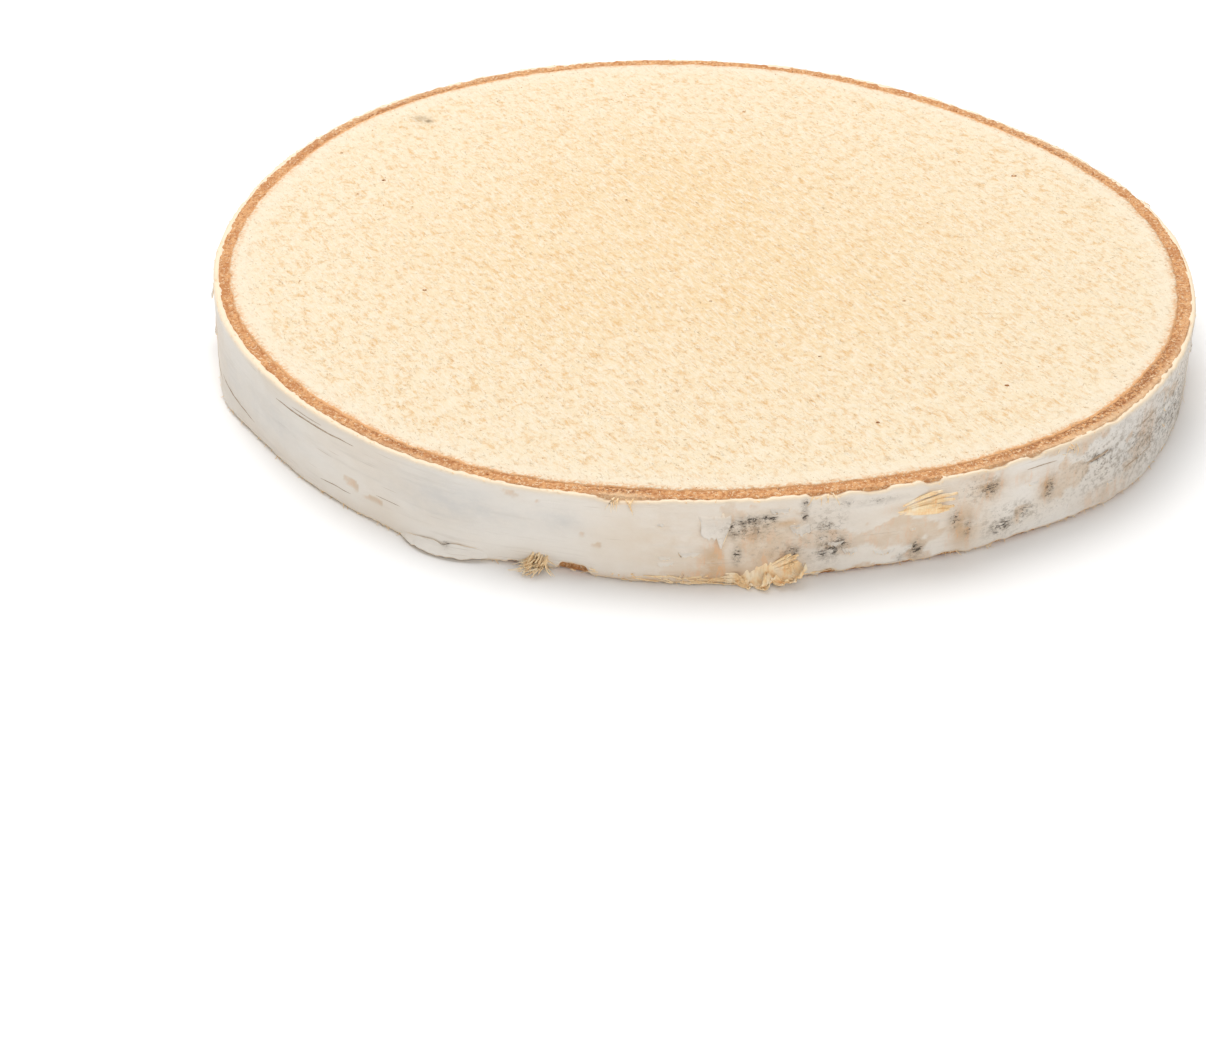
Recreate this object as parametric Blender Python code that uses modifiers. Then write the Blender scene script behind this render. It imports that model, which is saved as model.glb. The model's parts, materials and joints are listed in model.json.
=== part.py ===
"""A birch wood slice: a sawn disc of birch with its inner bark, its papery outer bark and its torn bits.

Lengths are in millimetres until a point is placed, and the scene is in metres with +Z up.
The slice lies on its lower sawn face, and its box is centred over the origin.
"""

import math
import random

import bmesh
import bpy
from mathutils import Vector, noise

MM = 0.001

THICKNESS = 10.0
# The radius of the bark every 15 degrees, anticlockwise from +X.
BARK_RADII = (
    57.6, 56.8, 55.8, 55.4, 56.3, 57.7, 58.6, 59.1, 59.3, 58.9, 57.9, 57.2,
    57.2, 57.2, 57.1, 57.3, 57.6, 57.3, 56.6, 56.6, 57.8, 58.9, 58.9, 58.2,
)
OUTER_BARK_WIDTH = 0.7
INNER_BARK_WIDTH = 1.45
INNER_BARK_DEPTH = 0.35
BARK_EDGE_DROP = 0.12
BARK_EDGE_ROUND = 0.1
STEP_WIDTH = 0.12
# The inner bark lies a little higher beside the wood than beside the outer bark.
INNER_EDGE_SHARE = 0.7

COLUMNS = 180
SIDE_ROWS = 6
RELIEF = 0.16
RELIEF_SIZE = 9.0
EDGE_RAGGED = 0.22
TORN_RAGGED = 0.75
EDGE_TOOTH = 2.6
RING_GRAIN = 0.12
RING_GRAIN_SIZE = 1.6
RING_GRAIN_STRETCH = 9
RELIEF_SEED, GRAIN_SEED, EDGE_SEED = 3.7, 5.3, 8.1
UPPER_EDGE_PLACE = 30.0

# How far the lower edge of the bark stands out past the upper one: degrees, spread in degrees, millimetres.
LOWER_EDGE_SHIFTS = (
    (20, 10, 0.5), (75, 9, -0.5), (110, 12, 0.6), (150, 8, -0.3), (201, 7, 0.9),
    (240, 6, 0.6), (253, 5, -0.8), (271, 9, 0.5), (319, 9, 0.7),
)

# Torn sheets: how thick, how deep their roots are sunk, and their cells across and along.
SHEET_THICKNESS = 0.6
SHEET_ROOT = -0.5
SCALE_CELLS, FLAP_CELLS, CURL_CELLS, STRIP_CELLS = (4, 4), (8, 3), (7, 8), (2, 6)
LOWEST_TIP = 0.45
SCALE_ROUNDING, SCALE_LIFTING = 0.85, 0.7
FLAP_END, FLAP_WAVE, FLAP_WAVES, FLAP_LIFTING = 0.12, 0.25, 9, 0.8
CURL_STAND, CURL_START, CURL_TURN = 0.15, 0.3, 165
CURL_NARROWING, CURL_ROOT_WAVE, CURL_ROOT_WAVES = 0.2, 0.3, 8
CURL_RAGGED, CURL_TEETH, CURL_TOOTH_SHIFT = 0.3, 11, 2
STRIP_TAPER, STRIP_WIDEST, STRIP_RISE, STRIP_LIFTING = 0.6, 0.6, 0.5, 1.8

# Slivers: five-sided, bent down or up towards a tapered tip, with their roots sunk in the wood.
SLIVER_DEPTH, SLIVER_SIDES, SLIVER_CUTS, SLIVER_TIP, SLIVER_BEND = 0.8, 5, 2, 0.3, 1.4
ROOT_DEPTH = 1.2
TUFT_SPREAD, TUFT_DRIFT = 0.9, 1.2
TUFT_WIDTHS, TUFT_ROOTS, TUFT_SHARES = (0.8, 1.1), (0.9, 1.6), (0.6, 1.0)
SPLINTER_WIDTHS, SPLINTER_ROOTS, SPLINTER_TIPS = (0.9, 2.4), (0.8, 1.2), (-0.25, 0.0)
SPLINTER_REACHES, SPLINTER_PLACES, SPLINTER_DRIFT = (0.2, 0.8), (0.1, 0.9), 1.4
UPPER_SPLINTER_INSET = 0.7
SEED = 12

# Bark scales that lift at their lower end: degrees, width, upper height, lower height, lift.
SCALES = (
    (269.8, 3.4, 9.2, 5.2, 0.65), (260.0, 4.2, 9.8, 8.5, 0.5), (16.0, 4.0, 8.6, 5.0, 0.7),
    (96.0, 5.5, 9.7, 8.2, 0.5), (128.0, 3.6, 6.4, 2.6, 0.7), (186.0, 3.2, 9.4, 6.8, 0.5),
)
# Flaps where the lower edge has peeled away: degrees, width, height of the fold, lift.
FLAPS = ((241.0, 9.4, 3.6, 1.2), (70.0, 7.5, 3.2, 1.1), (156.0, 6.0, 2.8, 0.9))
# Curls of torn inner bark on the lower edge: degrees, width, height of the root at each end, curl radius.
CURLS = ((275.5, 7.0, 1.9, 3.3, 1.0), (28.0, 5.0, 2.6, 1.8, 1.05))
# Strips peeled sideways: degrees at the root and at the tip, height, width, lift.
STRIPS = ((288.0, 295.0, 7.0, 1.6, 1.5), (48.0, 42.0, 7.2, 1.4, 1.2), (140.0, 146.0, 4.2, 1.5, 1.3))
# Tufts of torn fibre on the lower edge: degrees, count, reach.
TUFTS = ((251.8, 6, 2.3), (58.0, 5, 1.8), (171.0, 4, 1.3))
# Small splinters: count, first and last degree, on the upper edge or not.
SPLINTERS = ((11, 280, 332, False), (14, 0, 360, False), (16, 0, 360, True))
# Stretches where the lower edge is torn ragged: degrees, spread in degrees.
RAGGED_STRETCHES = ((300, 24), (80, 20), (160, 18))

COLOURS = {
    "sawn_wood": ((0.88, 0.74, 0.52, 1.0), 0.85),
    "inner_bark": ((0.50, 0.25, 0.11, 1.0), 0.9),
    "outer_bark": ((0.72, 0.66, 0.59, 1.0), 0.6),
    "torn_fibre": ((0.86, 0.63, 0.38, 1.0), 0.85),
}
SAWN_WOOD, INNER_BARK, OUTER_BARK, TORN_FIBRE = range(4)
SHARP_ANGLE = 35.0


def clear_scene():
    """Removes what the empty file starts with."""
    for item in list(bpy.data.objects):
        bpy.data.objects.remove(item, do_unlink=True)


def new_collection(name):
    made = bpy.data.collections.new(name)
    bpy.context.scene.collection.children.link(made)
    return made


def material(name):
    """One plain finish of the slice."""
    colour, roughness = COLOURS[name]
    made = bpy.data.materials.new(name)
    made.use_nodes = True
    made.diffuse_color = colour
    shader = made.node_tree.nodes["Principled BSDF"]
    shader.inputs["Base Color"].default_value = colour
    shader.inputs["Roughness"].default_value = roughness
    shader.inputs["Metallic"].default_value = 0.0
    return made


def outline_radius(angle):
    """The radius of the upper bark edge at an angle in radians, smooth through the measured radii."""
    place = angle / math.tau * len(BARK_RADII)
    first = math.floor(place)
    t = place - first
    a, b, c, d = (BARK_RADII[(first + step) % len(BARK_RADII)] for step in (-1, 0, 1, 2))
    return b + 0.5 * t * (c - a + t * (2 * a - 5 * b + 4 * c - d + t * (3 * (b - c) + d - a)))


def bump(angle, centre, spread):
    """A smooth bump from 0 to 1 round the rim: angle in radians, centre and spread in degrees."""
    away = (math.degrees(angle) - centre + 180) % 360 - 180
    return math.exp(-((away / spread) ** 2))


def lower_edge_shift(angle):
    """How far the lower edge stands out past the upper one at an angle in radians."""
    return sum(size * bump(angle, centre, spread) for centre, spread, size in LOWER_EDGE_SHIFTS)


def rough(angle, height, size, seed):
    """Smooth noise from -1 to 1 over the bark, with features of the given size."""
    around = Vector((math.cos(angle), math.sin(angle), 0)) * outline_radius(angle)
    return noise.noise((around + Vector((0, 0, height))) / size + Vector((seed, seed, seed)))


def bark_radius(angle, height):
    """The radius of the bark at an angle in radians and a height."""
    down = 1 - height / THICKNESS
    relief = RELIEF * rough(angle, height, RELIEF_SIZE, RELIEF_SEED)
    return outline_radius(angle) + lower_edge_shift(angle) * down + relief


def on_bark(angle, offset, height):
    """The point in metres that lies this far outside the bark."""
    radius = (bark_radius(angle, height) + offset) * MM
    return Vector((radius * math.cos(angle), radius * math.sin(angle), height * MM))


def edge_height(angle, upper):
    """Where the outer bark ends, short of the sawn face by a ragged amount."""
    ragged = EDGE_RAGGED
    if not upper:
        ragged += (TORN_RAGGED - EDGE_RAGGED) * max(bump(angle, *stretch) for stretch in RAGGED_STRETCHES)
    tooth = rough(angle, UPPER_EDGE_PLACE * upper, EDGE_TOOTH, EDGE_SEED)
    drop = BARK_EDGE_DROP + ragged * (0.5 + 0.5 * tooth)
    return THICKNESS - drop if upper else drop


def face_rings(upper):
    """Rings from the sawn wood out to the bark's edge: inset from the bark, depth below the face, grain."""
    ring_end = OUTER_BARK_WIDTH + INNER_BARK_WIDTH
    return (
        (ring_end + STEP_WIDTH, 0.0, 0.0),
        (ring_end, INNER_BARK_DEPTH * INNER_EDGE_SHARE, RING_GRAIN),
        (OUTER_BARK_WIDTH + STEP_WIDTH, INNER_BARK_DEPTH, RING_GRAIN),
        (OUTER_BARK_WIDTH, None, 0.0),
        (BARK_EDGE_ROUND, None, 0.0),
    )


def ring_point(angle, inset, depth, grain, upper):
    """A point of a ring on a sawn face, or at the bark's edge where no depth is given."""
    face = THICKNESS if upper else 0.0
    inward = -1 if upper else 1
    if depth is None:
        height = edge_height(angle, upper)
    else:
        place = inset * RING_GRAIN_STRETCH
        height = face + inward * (depth + grain * rough(angle, place, RING_GRAIN_SIZE, GRAIN_SEED + upper))
    return on_bark(angle, -inset, height)


def slice_body():
    """The disc, made by extruding its lower face outwards, up the side and in again over the upper face."""
    sections = [partial_ring(ring, False) for ring in face_rings(False)]
    for row in range(1, SIDE_ROWS):
        sections.append(side_row(row / SIDE_ROWS))
    sections += [partial_ring(ring, True) for ring in reversed(face_rings(True))]
    bm = bmesh.new()
    bmesh.ops.create_circle(bm, cap_ends=True, segments=COLUMNS, radius=1.0)
    angles = {vert: math.atan2(vert.co.y, vert.co.x) % math.tau for vert in bm.verts}
    for vert, angle in angles.items():
        vert.co = sections[0](angle)
    edges = list(bm.edges)
    for place in sections[1:]:
        made = bmesh.ops.extrude_edge_only(bm, edges=edges)["geom"]
        edges = [item for item in made if isinstance(item, bmesh.types.BMEdge)]
        for vert in (item for item in made if isinstance(item, bmesh.types.BMVert)):
            vert.co = place(math.atan2(vert.co.y, vert.co.x) % math.tau)
    bmesh.ops.edgeloop_fill(bm, edges=edges)
    bmesh.ops.recalc_face_normals(bm, faces=list(bm.faces))
    for face in bm.faces:
        face.material_index = finish_of(face)
    return bm


def partial_ring(ring, upper):
    """The points of one ring, as a function of the angle."""
    inset, depth, grain = ring
    return lambda angle: ring_point(angle, inset, depth, grain, upper)


def side_row(share):
    """The points of one row of the side, as a function of the angle: 0 is the lower edge and 1 the upper."""

    def place(angle):
        low, high = edge_height(angle, False), edge_height(angle, True)
        return on_bark(angle, 0.0, low + share * (high - low))

    return place


def finish_of(face):
    """Wood, inner bark or outer bark, by how far the middle of the face lies inside the bark."""
    middle = face.calc_center_median() / MM
    angle = math.atan2(middle.y, middle.x) % math.tau
    inset = bark_radius(angle, middle.z) - middle.to_2d().length
    if inset > OUTER_BARK_WIDTH + INNER_BARK_WIDTH or len(face.verts) > 4:
        return SAWN_WOOD
    return INNER_BARK if inset > OUTER_BARK_WIDTH else OUTER_BARK


def torn_sheet(name, place, cells, finish):
    """A thin sheet: place(u, v), each from 0 to 1, gives degrees, offset from the bark and height."""
    bm = bmesh.new()
    bmesh.ops.create_grid(bm, x_segments=cells[0], y_segments=cells[1], size=0.5)
    for vert in bm.verts:
        degrees, offset, height = place(vert.co.x + 0.5, vert.co.y + 0.5)
        vert.co = on_bark(math.radians(degrees), offset, height)
    for face in bm.faces:
        face.material_index = finish
    sheet = add_object(name, bm, TORN)
    shell = sheet.modifiers.new("thickness", "SOLIDIFY")
    shell.thickness = SHEET_THICKNESS * MM
    shell.offset = 0.0
    shell.use_even_offset = True
    return sheet


def degrees_of(length):
    """The angle in degrees that a length along the bark takes up."""
    return math.degrees(length / (sum(BARK_RADII) / len(BARK_RADII)))


def lifted(lift, share):
    """The offset of a sheet that rises from its sunk root to its full lift."""
    return SHEET_ROOT + (lift - SHEET_ROOT) * share


def add_scale(index, centre, width, top, bottom, lift):
    """A scale of outer bark, rooted at its upper end, with a round free lower end."""

    def place(u, v):
        half = 0.5 * degrees_of(width) * math.sqrt(1 - (SCALE_ROUNDING * v) ** 4)
        return centre + (2 * u - 1) * half, lifted(lift, v**SCALE_LIFTING), top + v * (bottom - top)

    torn_sheet(f"scale_{index}", place, SCALE_CELLS, OUTER_BARK)


def add_flap(index, centre, width, fold, lift):
    """The lower edge of the outer bark, peeled away from the wood along a split."""

    def place(u, v):
        swell = math.sin(math.pi * (FLAP_END + (1 - 2 * FLAP_END) * u))
        wave = FLAP_WAVE * math.sin(FLAP_WAVES * u + index)
        height = fold * (1 - v) + LOWEST_TIP * v + wave * (1 - v)
        return centre + (u - 0.5) * degrees_of(width), lifted(lift, swell * v**FLAP_LIFTING), height

    torn_sheet(f"flap_{index}", place, FLAP_CELLS, OUTER_BARK)


def add_curl(index, centre, width, first_root, last_root, radius):
    """Torn inner bark that runs down the side and curls outwards and up at the lower edge."""

    def place(u, v):
        wave = CURL_ROOT_WAVE * math.sin(CURL_ROOT_WAVES * u)
        root = first_root + (last_root - first_root) * u + wave
        spread = (u - 0.5) * degrees_of(width) * (1 - CURL_NARROWING * v)
        if v < CURL_START:
            down = v / CURL_START
            height = root + (LOWEST_TIP + radius - root) * down
            return centre + spread, lifted(CURL_STAND, down), height
        tooth = math.sin(CURL_TEETH * u + CURL_TOOTH_SHIFT * index)
        ragged = 1 - CURL_RAGGED + CURL_RAGGED * tooth
        turn = math.radians(180 + CURL_TURN * ragged * (v - CURL_START) / (1 - CURL_START))
        height = LOWEST_TIP + radius * (1 + math.sin(turn))
        return centre + spread, CURL_STAND + radius * (1 + math.cos(turn)), height

    torn_sheet(f"curl_{index}", place, CURL_CELLS, TORN_FIBRE)


def add_strip(index, root, tip, height, width, lift):
    """A pointed strip of bark peeled along the rim, with its free tip curling outwards."""

    def place(u, v):
        narrow = width * (1 - STRIP_TAPER * abs(v - STRIP_WIDEST))
        rise = height + narrow * (u - 0.5) + STRIP_RISE * v * v
        return root + (tip - root) * v, lifted(lift, v**STRIP_LIFTING), rise

    torn_sheet(f"strip_{index}", place, STRIP_CELLS, TORN_FIBRE)


def add_sliver(name, centre, width, start, end, drift, finish):
    """A pointed splinter: start and end are (offset from the bark, height), and drift is in degrees."""
    bm = bmesh.new()
    bmesh.ops.create_cone(
        bm, cap_ends=True, segments=SLIVER_SIDES, radius1=0.5, radius2=0.5 * SLIVER_TIP, depth=1.0
    )
    long_edges = [edge for edge in bm.edges if abs(edge.verts[0].co.z - edge.verts[1].co.z) > 0.5]
    bmesh.ops.subdivide_edges(bm, edges=long_edges, cuts=SLIVER_CUTS)
    for vert in bm.verts:
        across, deep, along = vert.co.x, vert.co.y, vert.co.z + 0.5
        degrees = centre + drift * along + degrees_of(width * across)
        offset = start[0] + (end[0] - start[0]) * along
        height = start[1] + (end[1] - start[1]) * along**SLIVER_BEND + SLIVER_DEPTH * deep
        vert.co = on_bark(math.radians(degrees), offset, height)
    bmesh.ops.recalc_face_normals(bm, faces=list(bm.faces))
    for face in bm.faces:
        face.material_index = finish
    add_object(name, bm, TORN)


def add_tuft(index, centre, count, reach, draw):
    """A few slivers that leave the lower edge side by side."""
    for number in range(count):
        add_sliver(
            f"tuft_{index}_{number}",
            centre + draw.uniform(-TUFT_SPREAD, TUFT_SPREAD),
            draw.uniform(*TUFT_WIDTHS),
            (-ROOT_DEPTH, draw.uniform(*TUFT_ROOTS)),
            (reach * draw.uniform(*TUFT_SHARES), draw.uniform(0.0, 1.0) + LOWEST_TIP),
            draw.uniform(-TUFT_DRIFT, TUFT_DRIFT),
            TORN_FIBRE,
        )


def add_splinters(index, count, first, last, upper, draw):
    """Small splinters, one at a random place in each equal stretch of the edge."""
    stretch = (last - first) / count
    for number in range(count):
        root, tip = draw.uniform(*SPLINTER_ROOTS), draw.uniform(*SPLINTER_TIPS)
        reach = draw.uniform(*SPLINTER_REACHES)
        if upper:
            root, tip, reach = THICKNESS - root, THICKNESS - tip, reach - UPPER_SPLINTER_INSET
        add_sliver(
            f"splinter_{index}_{number}",
            first + (number + draw.uniform(*SPLINTER_PLACES)) * stretch,
            draw.uniform(*SPLINTER_WIDTHS),
            (-ROOT_DEPTH, root),
            (reach, tip if upper else LOWEST_TIP),
            draw.uniform(-SPLINTER_DRIFT, SPLINTER_DRIFT),
            TORN_FIBRE if draw.random() < 0.5 else OUTER_BARK,
        )


def add_torn_bits():
    """Every torn bit of the slice, from the named places and one seeded draw."""
    draw = random.Random(SEED)
    for index, scale in enumerate(SCALES):
        add_scale(index, *scale)
    for index, flap in enumerate(FLAPS):
        add_flap(index, *flap)
    for index, curl in enumerate(CURLS):
        add_curl(index, *curl)
    for index, strip in enumerate(STRIPS):
        add_strip(index, *strip)
    for index, tuft in enumerate(TUFTS):
        add_tuft(index, *tuft, draw)
    for index, splinters in enumerate(SPLINTERS):
        add_splinters(index, *splinters, draw)


def add_object(name, bm, collection):
    """An object of a finished mesh, with the finishes of the slice in their order."""
    mesh = bpy.data.meshes.new(name)
    bm.to_mesh(mesh)
    bm.free()
    for finish in FINISHES:
        mesh.materials.append(finish)
    made = bpy.data.objects.new(name, mesh)
    collection.objects.link(made)
    return made


def fuse_torn_bits(body):
    """Joins every torn bit to the slice with one union, and removes the loose ones."""
    union = body.modifiers.new("torn_bits", "BOOLEAN")
    union.operation = "UNION"
    union.operand_type = "COLLECTION"
    union.collection = TORN
    union.solver = "EXACT"
    bpy.context.view_layer.update()
    graph = bpy.context.evaluated_depsgraph_get()
    fused = bpy.data.meshes.new_from_object(body.evaluated_get(graph))
    body.modifiers.clear()
    body.data = fused
    for bit in list(TORN.objects):
        bpy.data.objects.remove(bit, do_unlink=True)
    bpy.data.collections.remove(TORN)


def centre_on_box(body):
    """Puts the middle of the slice's box over the origin, with the lower sawn face at height 0."""
    xs = [vert.co.x for vert in body.data.vertices]
    ys = [vert.co.y for vert in body.data.vertices]
    middle = Vector(((min(xs) + max(xs)) / 2, (min(ys) + max(ys)) / 2, 0))
    for vert in body.data.vertices:
        vert.co -= middle


clear_scene()
FINISHES = [material(name) for name in COLOURS]
SLICE = new_collection("birch_wood_slice")
TORN = new_collection("torn_bits")
birch_slice = add_object("birch_slice", slice_body(), SLICE)
add_torn_bits()
fuse_torn_bits(birch_slice)
centre_on_box(birch_slice)
birch_slice.data.shade_smooth()
birch_slice.data.set_sharp_from_angle(angle=math.radians(SHARP_ANGLE))
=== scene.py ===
"""Dresses the birch wood slice: sawn wood, inner bark, papery outer bark and the torn bits round its edge.

Lengths are in millimetres until a point is placed. Angles round the rim are in degrees, anticlockwise
from +X.
"""

import json
import math
import random
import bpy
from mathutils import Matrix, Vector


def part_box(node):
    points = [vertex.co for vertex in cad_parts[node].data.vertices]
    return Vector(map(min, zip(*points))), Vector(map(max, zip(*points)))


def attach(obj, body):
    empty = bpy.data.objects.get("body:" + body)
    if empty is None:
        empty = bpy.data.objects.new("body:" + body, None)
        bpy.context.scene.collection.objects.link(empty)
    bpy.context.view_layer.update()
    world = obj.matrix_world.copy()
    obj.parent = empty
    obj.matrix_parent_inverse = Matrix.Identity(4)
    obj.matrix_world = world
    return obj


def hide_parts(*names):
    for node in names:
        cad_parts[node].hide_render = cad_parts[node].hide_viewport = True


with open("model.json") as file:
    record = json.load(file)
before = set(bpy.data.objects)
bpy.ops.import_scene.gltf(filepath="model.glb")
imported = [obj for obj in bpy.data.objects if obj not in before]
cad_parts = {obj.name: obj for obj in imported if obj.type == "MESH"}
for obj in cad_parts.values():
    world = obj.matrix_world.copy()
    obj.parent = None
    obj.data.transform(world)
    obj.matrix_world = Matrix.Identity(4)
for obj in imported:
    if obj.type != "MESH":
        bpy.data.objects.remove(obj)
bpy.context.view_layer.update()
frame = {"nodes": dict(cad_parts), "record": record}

from types import SimpleNamespace

import bmesh
import bpy
import numpy as np
from mathutils import Matrix, Vector, noise

bl_info = {
    "name": "Birch Wood Slice",
    "version": (1, 0, 0),
    "blender": (4, 5, 0),
    "location": "View3D > Sidebar > Birch Slice",
    "description": "Models a sawn slice of birch with its bark and the fibre that the saw tore",
    "category": "Add Mesh",
}

MM = 0.001
NODE = "birch_slice"
MOUNTS = {mount["name"]: mount["pos_m"] for mount in frame["record"]["mounts"]}
THICKNESS = MOUNTS["upper_face"][2] / MM
TOP_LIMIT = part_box(NODE)[1].z / MM
LOWEST_TIP = 0.12
MEAN_RADIUS = 57.5
SEED = 31
LARGEST_SIZE = 20.0

# How the frame's lower face is drawn: its flatness, how far it ends inside the bark, and its columns.
FLAT = 0.001
FRAME_INSET = 2.27
FRAME_COLUMNS = 180

# The slice's own shape, as the frame has it: its radii, evenly round the rim.
BARK_RADII = (
    57.6, 56.8, 55.8, 55.4, 56.3, 57.7, 58.6, 59.1, 59.3, 58.9, 57.9, 57.2,
    57.2, 57.2, 57.1, 57.3, 57.6, 57.3, 56.6, 56.6, 57.8, 58.9, 58.9, 58.2,
)
# Stretches of the rim: middle and spread in degrees, and strength.
LOWER_EDGE_SHIFTS = (
    (20, 10, 0.5), (75, 9, -0.5), (110, 12, 0.6), (150, 8, -0.3), (201, 7, 0.9),
    (240, 6, 0.6), (253, 5, -0.8), (271, 9, 0.5), (319, 9, 0.7),
)
RAGGED_STRETCHES = ((300, 24, 1.0), (80, 20, 1.0), (160, 18, 1.0))
HAIRY_STRETCHES = (*RAGGED_STRETCHES, (228, 14, 1.0))
WORN_STRETCHES = ((290, 26, 1.0), (325, 14, 0.7))
WIDE_RING = ((322, 20, 0.3), (205, 30, -0.2))
THICK_BARK = ((205, 40, 0.3),)
# The stretch that doesn't show from the front, how it fades in and out, and how worn it is.
HIDDEN_STRETCH = (336, 555)
HIDDEN_FADES = (12, 14)
HIDDEN_WEAR = 0.5

# How far the outer bark ends short of the sawn faces, and how ragged its edges are.
EDGE_DROP, LEAST_DROP = 0.12, 0.03
EDGE_RAGGED, TORN_RAGGED = 0.22, 0.75
EDGES_APART = 30.0
WORN_RIM_DROP, WORN_RIM_STEP = 0.35, (0.1, 0.5)
# Bites out of the bark's upper and lower edges: degrees, half width in degrees, depth.
UPPER_NOTCHES = ((260.4, 2.7, 0.35), (280.3, 1.0, 0.25), (95.0, 2.0, 0.4), (188.0, 1.2, 0.3))
LOWER_NOTCHES = (
    (255.3, 1.9, 1.0), (249.0, 0.8, 0.35), (281.8, 1.0, 0.45), (33.0, 2.4, 0.9), (147.0, 1.6, 0.8),
)
NOTCH_REACH, NOTCH_SLOPE = 1.2, 0.7

# Noises over the bark and the ring: strength, size along the rim, size in height, where the noise is read.
NOISES = {
    "relief": (0.16, 9.0, 9.0, 3.7),
    "teeth": (0.5, 2.6, 2.6, 8.1),
    "nibbles": (0.1, 0.7, 0.7, 2.3),
    "tears": (0.35, 1.1, 1.1, 6.1),
    "worn_rim": (1.0, 2.4, 2.4, 1.7),
    "notch_edge": (0.35, 0.7, 0.7, 7.1),
    "hidden_wear": (0.9, 30.0, 30.0, 4.4),
    "peeled_patches": (1.0, 9.0, 3.4, 11.3),
    "peeled_edges": (0.3, 1.8, 1.0, 1.9),
    "wrinkles": (0.05, 7.0, 1.1, 0.6),
    "fine_wrinkles": (0.025, 1.3, 1.3, 9.2),
    "crust": (0.06, 0.9, 0.6, 5.8),
    "ring_width": (0.15, 22.0, 22.0, 7.7),
    "join_waves": (0.14, 3.0, 3.0, 1.2),
    "join_teeth": (0.2, 0.8, 0.8, 2.2),
    "upper_grains": (0.13, 0.9, 0.9, 7.6),
    "lower_grains": (0.13, 0.9, 0.9, 6.6),
    "fine_grains": (0.1, 0.45, 0.45, 3.1),
    "line_wander": (0.12, 2.2, 2.2, 5.5),
}
PEELED_WEAR, PEELED_STEP, PAPER_DEPTH = 0.5, (0.08, 0.11), 0.11

# The sawn faces. Their noises: strength, size along and across, and where the noise is read.
FACE_NOISES = {
    "tufts": (0.055, 1.7, 1.7, 0.3),
    "furrows": (0.05, 3.2, 1.1, 4.2),
    "saw_wander": (2.5, 16.0, 16.0, 7.7),
}
SAW_DEPTH, SAW_PITCH = 0.02, 1.9
FIBRE_HEADING = math.radians(-62)
ACROSS_FIBRE = FIBRE_HEADING + math.pi / 2
WOOD_CELLS = 208
WOOD_LEVEL = 0.13
WOOD_RIM, WOOD_RIM_DROP = 0.99, 0.05
FACES_APART = 90.0
# How far inside the join to the bark the wood turns deeper and paler, and takes on the ring's colour.
HEART, BORDER, NEAR_RING = (4.0, 48.0), (1.0, 4.5), (0.1, 1.1)
FUZZ_INSET, FUZZ_TIP, FUZZ_FORWARD, FUZZ_SIDES = 0.05, 0.12, 0.42, 3
FUZZ_PITCHES = {True: (2, 15), False: (0, 4)}
FUZZ_FACES, BROWN_EVERY = 5, 9

# The ring of inner bark and the cut edge of the outer bark.
RING_COLUMNS, RING_ROWS, BARK_ROWS = 1440, 9, 30
RING_OVERLAP, RING_LIP, RING_LIP_SHARE, LEAST_RING_DROP = 0.25, 0.35, 0.14, 0.02
GRAIN_RADIUS = 57.0
DARK_SIDE, PALE_SIDE, PALE_SHARE = (1.0, 1.5), (0.9, 1.4), 0.6
# Rings of the cut edge, from the inside to the bark's surface: share of its width, and how far it lies back.
CUT_RINGS = ((1.3, 0.5), (1.0, 0.12), (0.75, 0.0), (0.45, 0.0), (0.15, 0.0))
CUT_STEP = (0.02, 0.12)
PALE_RIM_BAND, PALE_RIM_LEAST, PALE_RIM_MORE = (0.75, 0.25), 0.35, 0.5
PEELED_TAN, PEELED_WARM = 0.3, 0.6

# Torn and peeled places, most of them where the frame has them too.
# Scales: degrees, width, upper end, lower end, lift.
SCALES = (
    (269.8, 3.4, 9.2, 5.2, 0.4), (16.0, 4.0, 8.6, 5.0, 0.5), (278.6, 2.2, 7.0, 5.6, 0.35),
    (96.0, 5.5, 9.7, 8.2, 0.5), (128.0, 3.6, 6.4, 2.6, 0.6), (186.0, 3.2, 9.4, 6.8, 0.4),
)
# Flaps: degrees, width, upper end, lift.
FLAPS = ((241.2, 11.0, 1.9, 1.0), (70.0, 8.5, 2.3, 1.1), (156.0, 7.0, 2.0, 0.9))
# Curls: degrees, width, height of the root at each end, radius.
CURLS = ((275.5, 7.0, 1.9, 3.3, 1.0), (28.0, 5.0, 2.6, 1.8, 1.05))
# Strips: degrees of the root and of the tip, height, width, lift, rise.
STRIPS = (
    (287.6, 296.6, 6.5, 2.6, 1.2, 1.4), (274.2, 279.6, 0.9, 1.7, 1.0, 2.2),
    (269.0, 274.4, 1.2, 1.1, 0.5, -0.5), (48.0, 41.0, 7.2, 1.8, 1.2, 0.6),
    (140.0, 147.0, 4.2, 1.9, 1.2, -0.6),
)
# Tufts: degrees, reach. Trails of fibre: degrees, spread, count. Tufts on the upper rim: degrees, count.
TUFTS = ((251.8, 2.2), (58.0, 1.8), (171.0, 0.8))
TRAILS = ((271.5, 3.6, 70), (262.0, 4.0, 26), (85.0, 9.0, 50), (160.0, 6.0, 30))
RIM_TUFTS = ((260.6, 9), (12.0, 7), (90.0, 8), (281.0, 5), (309.0, 5))

# How far under the bark's surface each kind of torn bit is rooted.
PEEL_ROOT, CURL_ROOT, STRIP_ROOT, TRAIL_ROOT, TUFT_ROOT, RIM_ROOT = -0.12, -0.25, -0.15, -0.1, -0.4, -0.3
# Small peels: how many, how much of the bark's marks they show, thickness.
SMALL_PEELS, PEEL_MARKS, PEEL_THICKNESS = 46, 0.3, 0.09
# How a scale narrows, tears and curls towards its lower end, and its cells across and along.
SCALE_TAPER, SCALE_TORN, SCALE_CURL, SCALE_GRID = 0.85, 0.7, 1.6, (12, 10)
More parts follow.
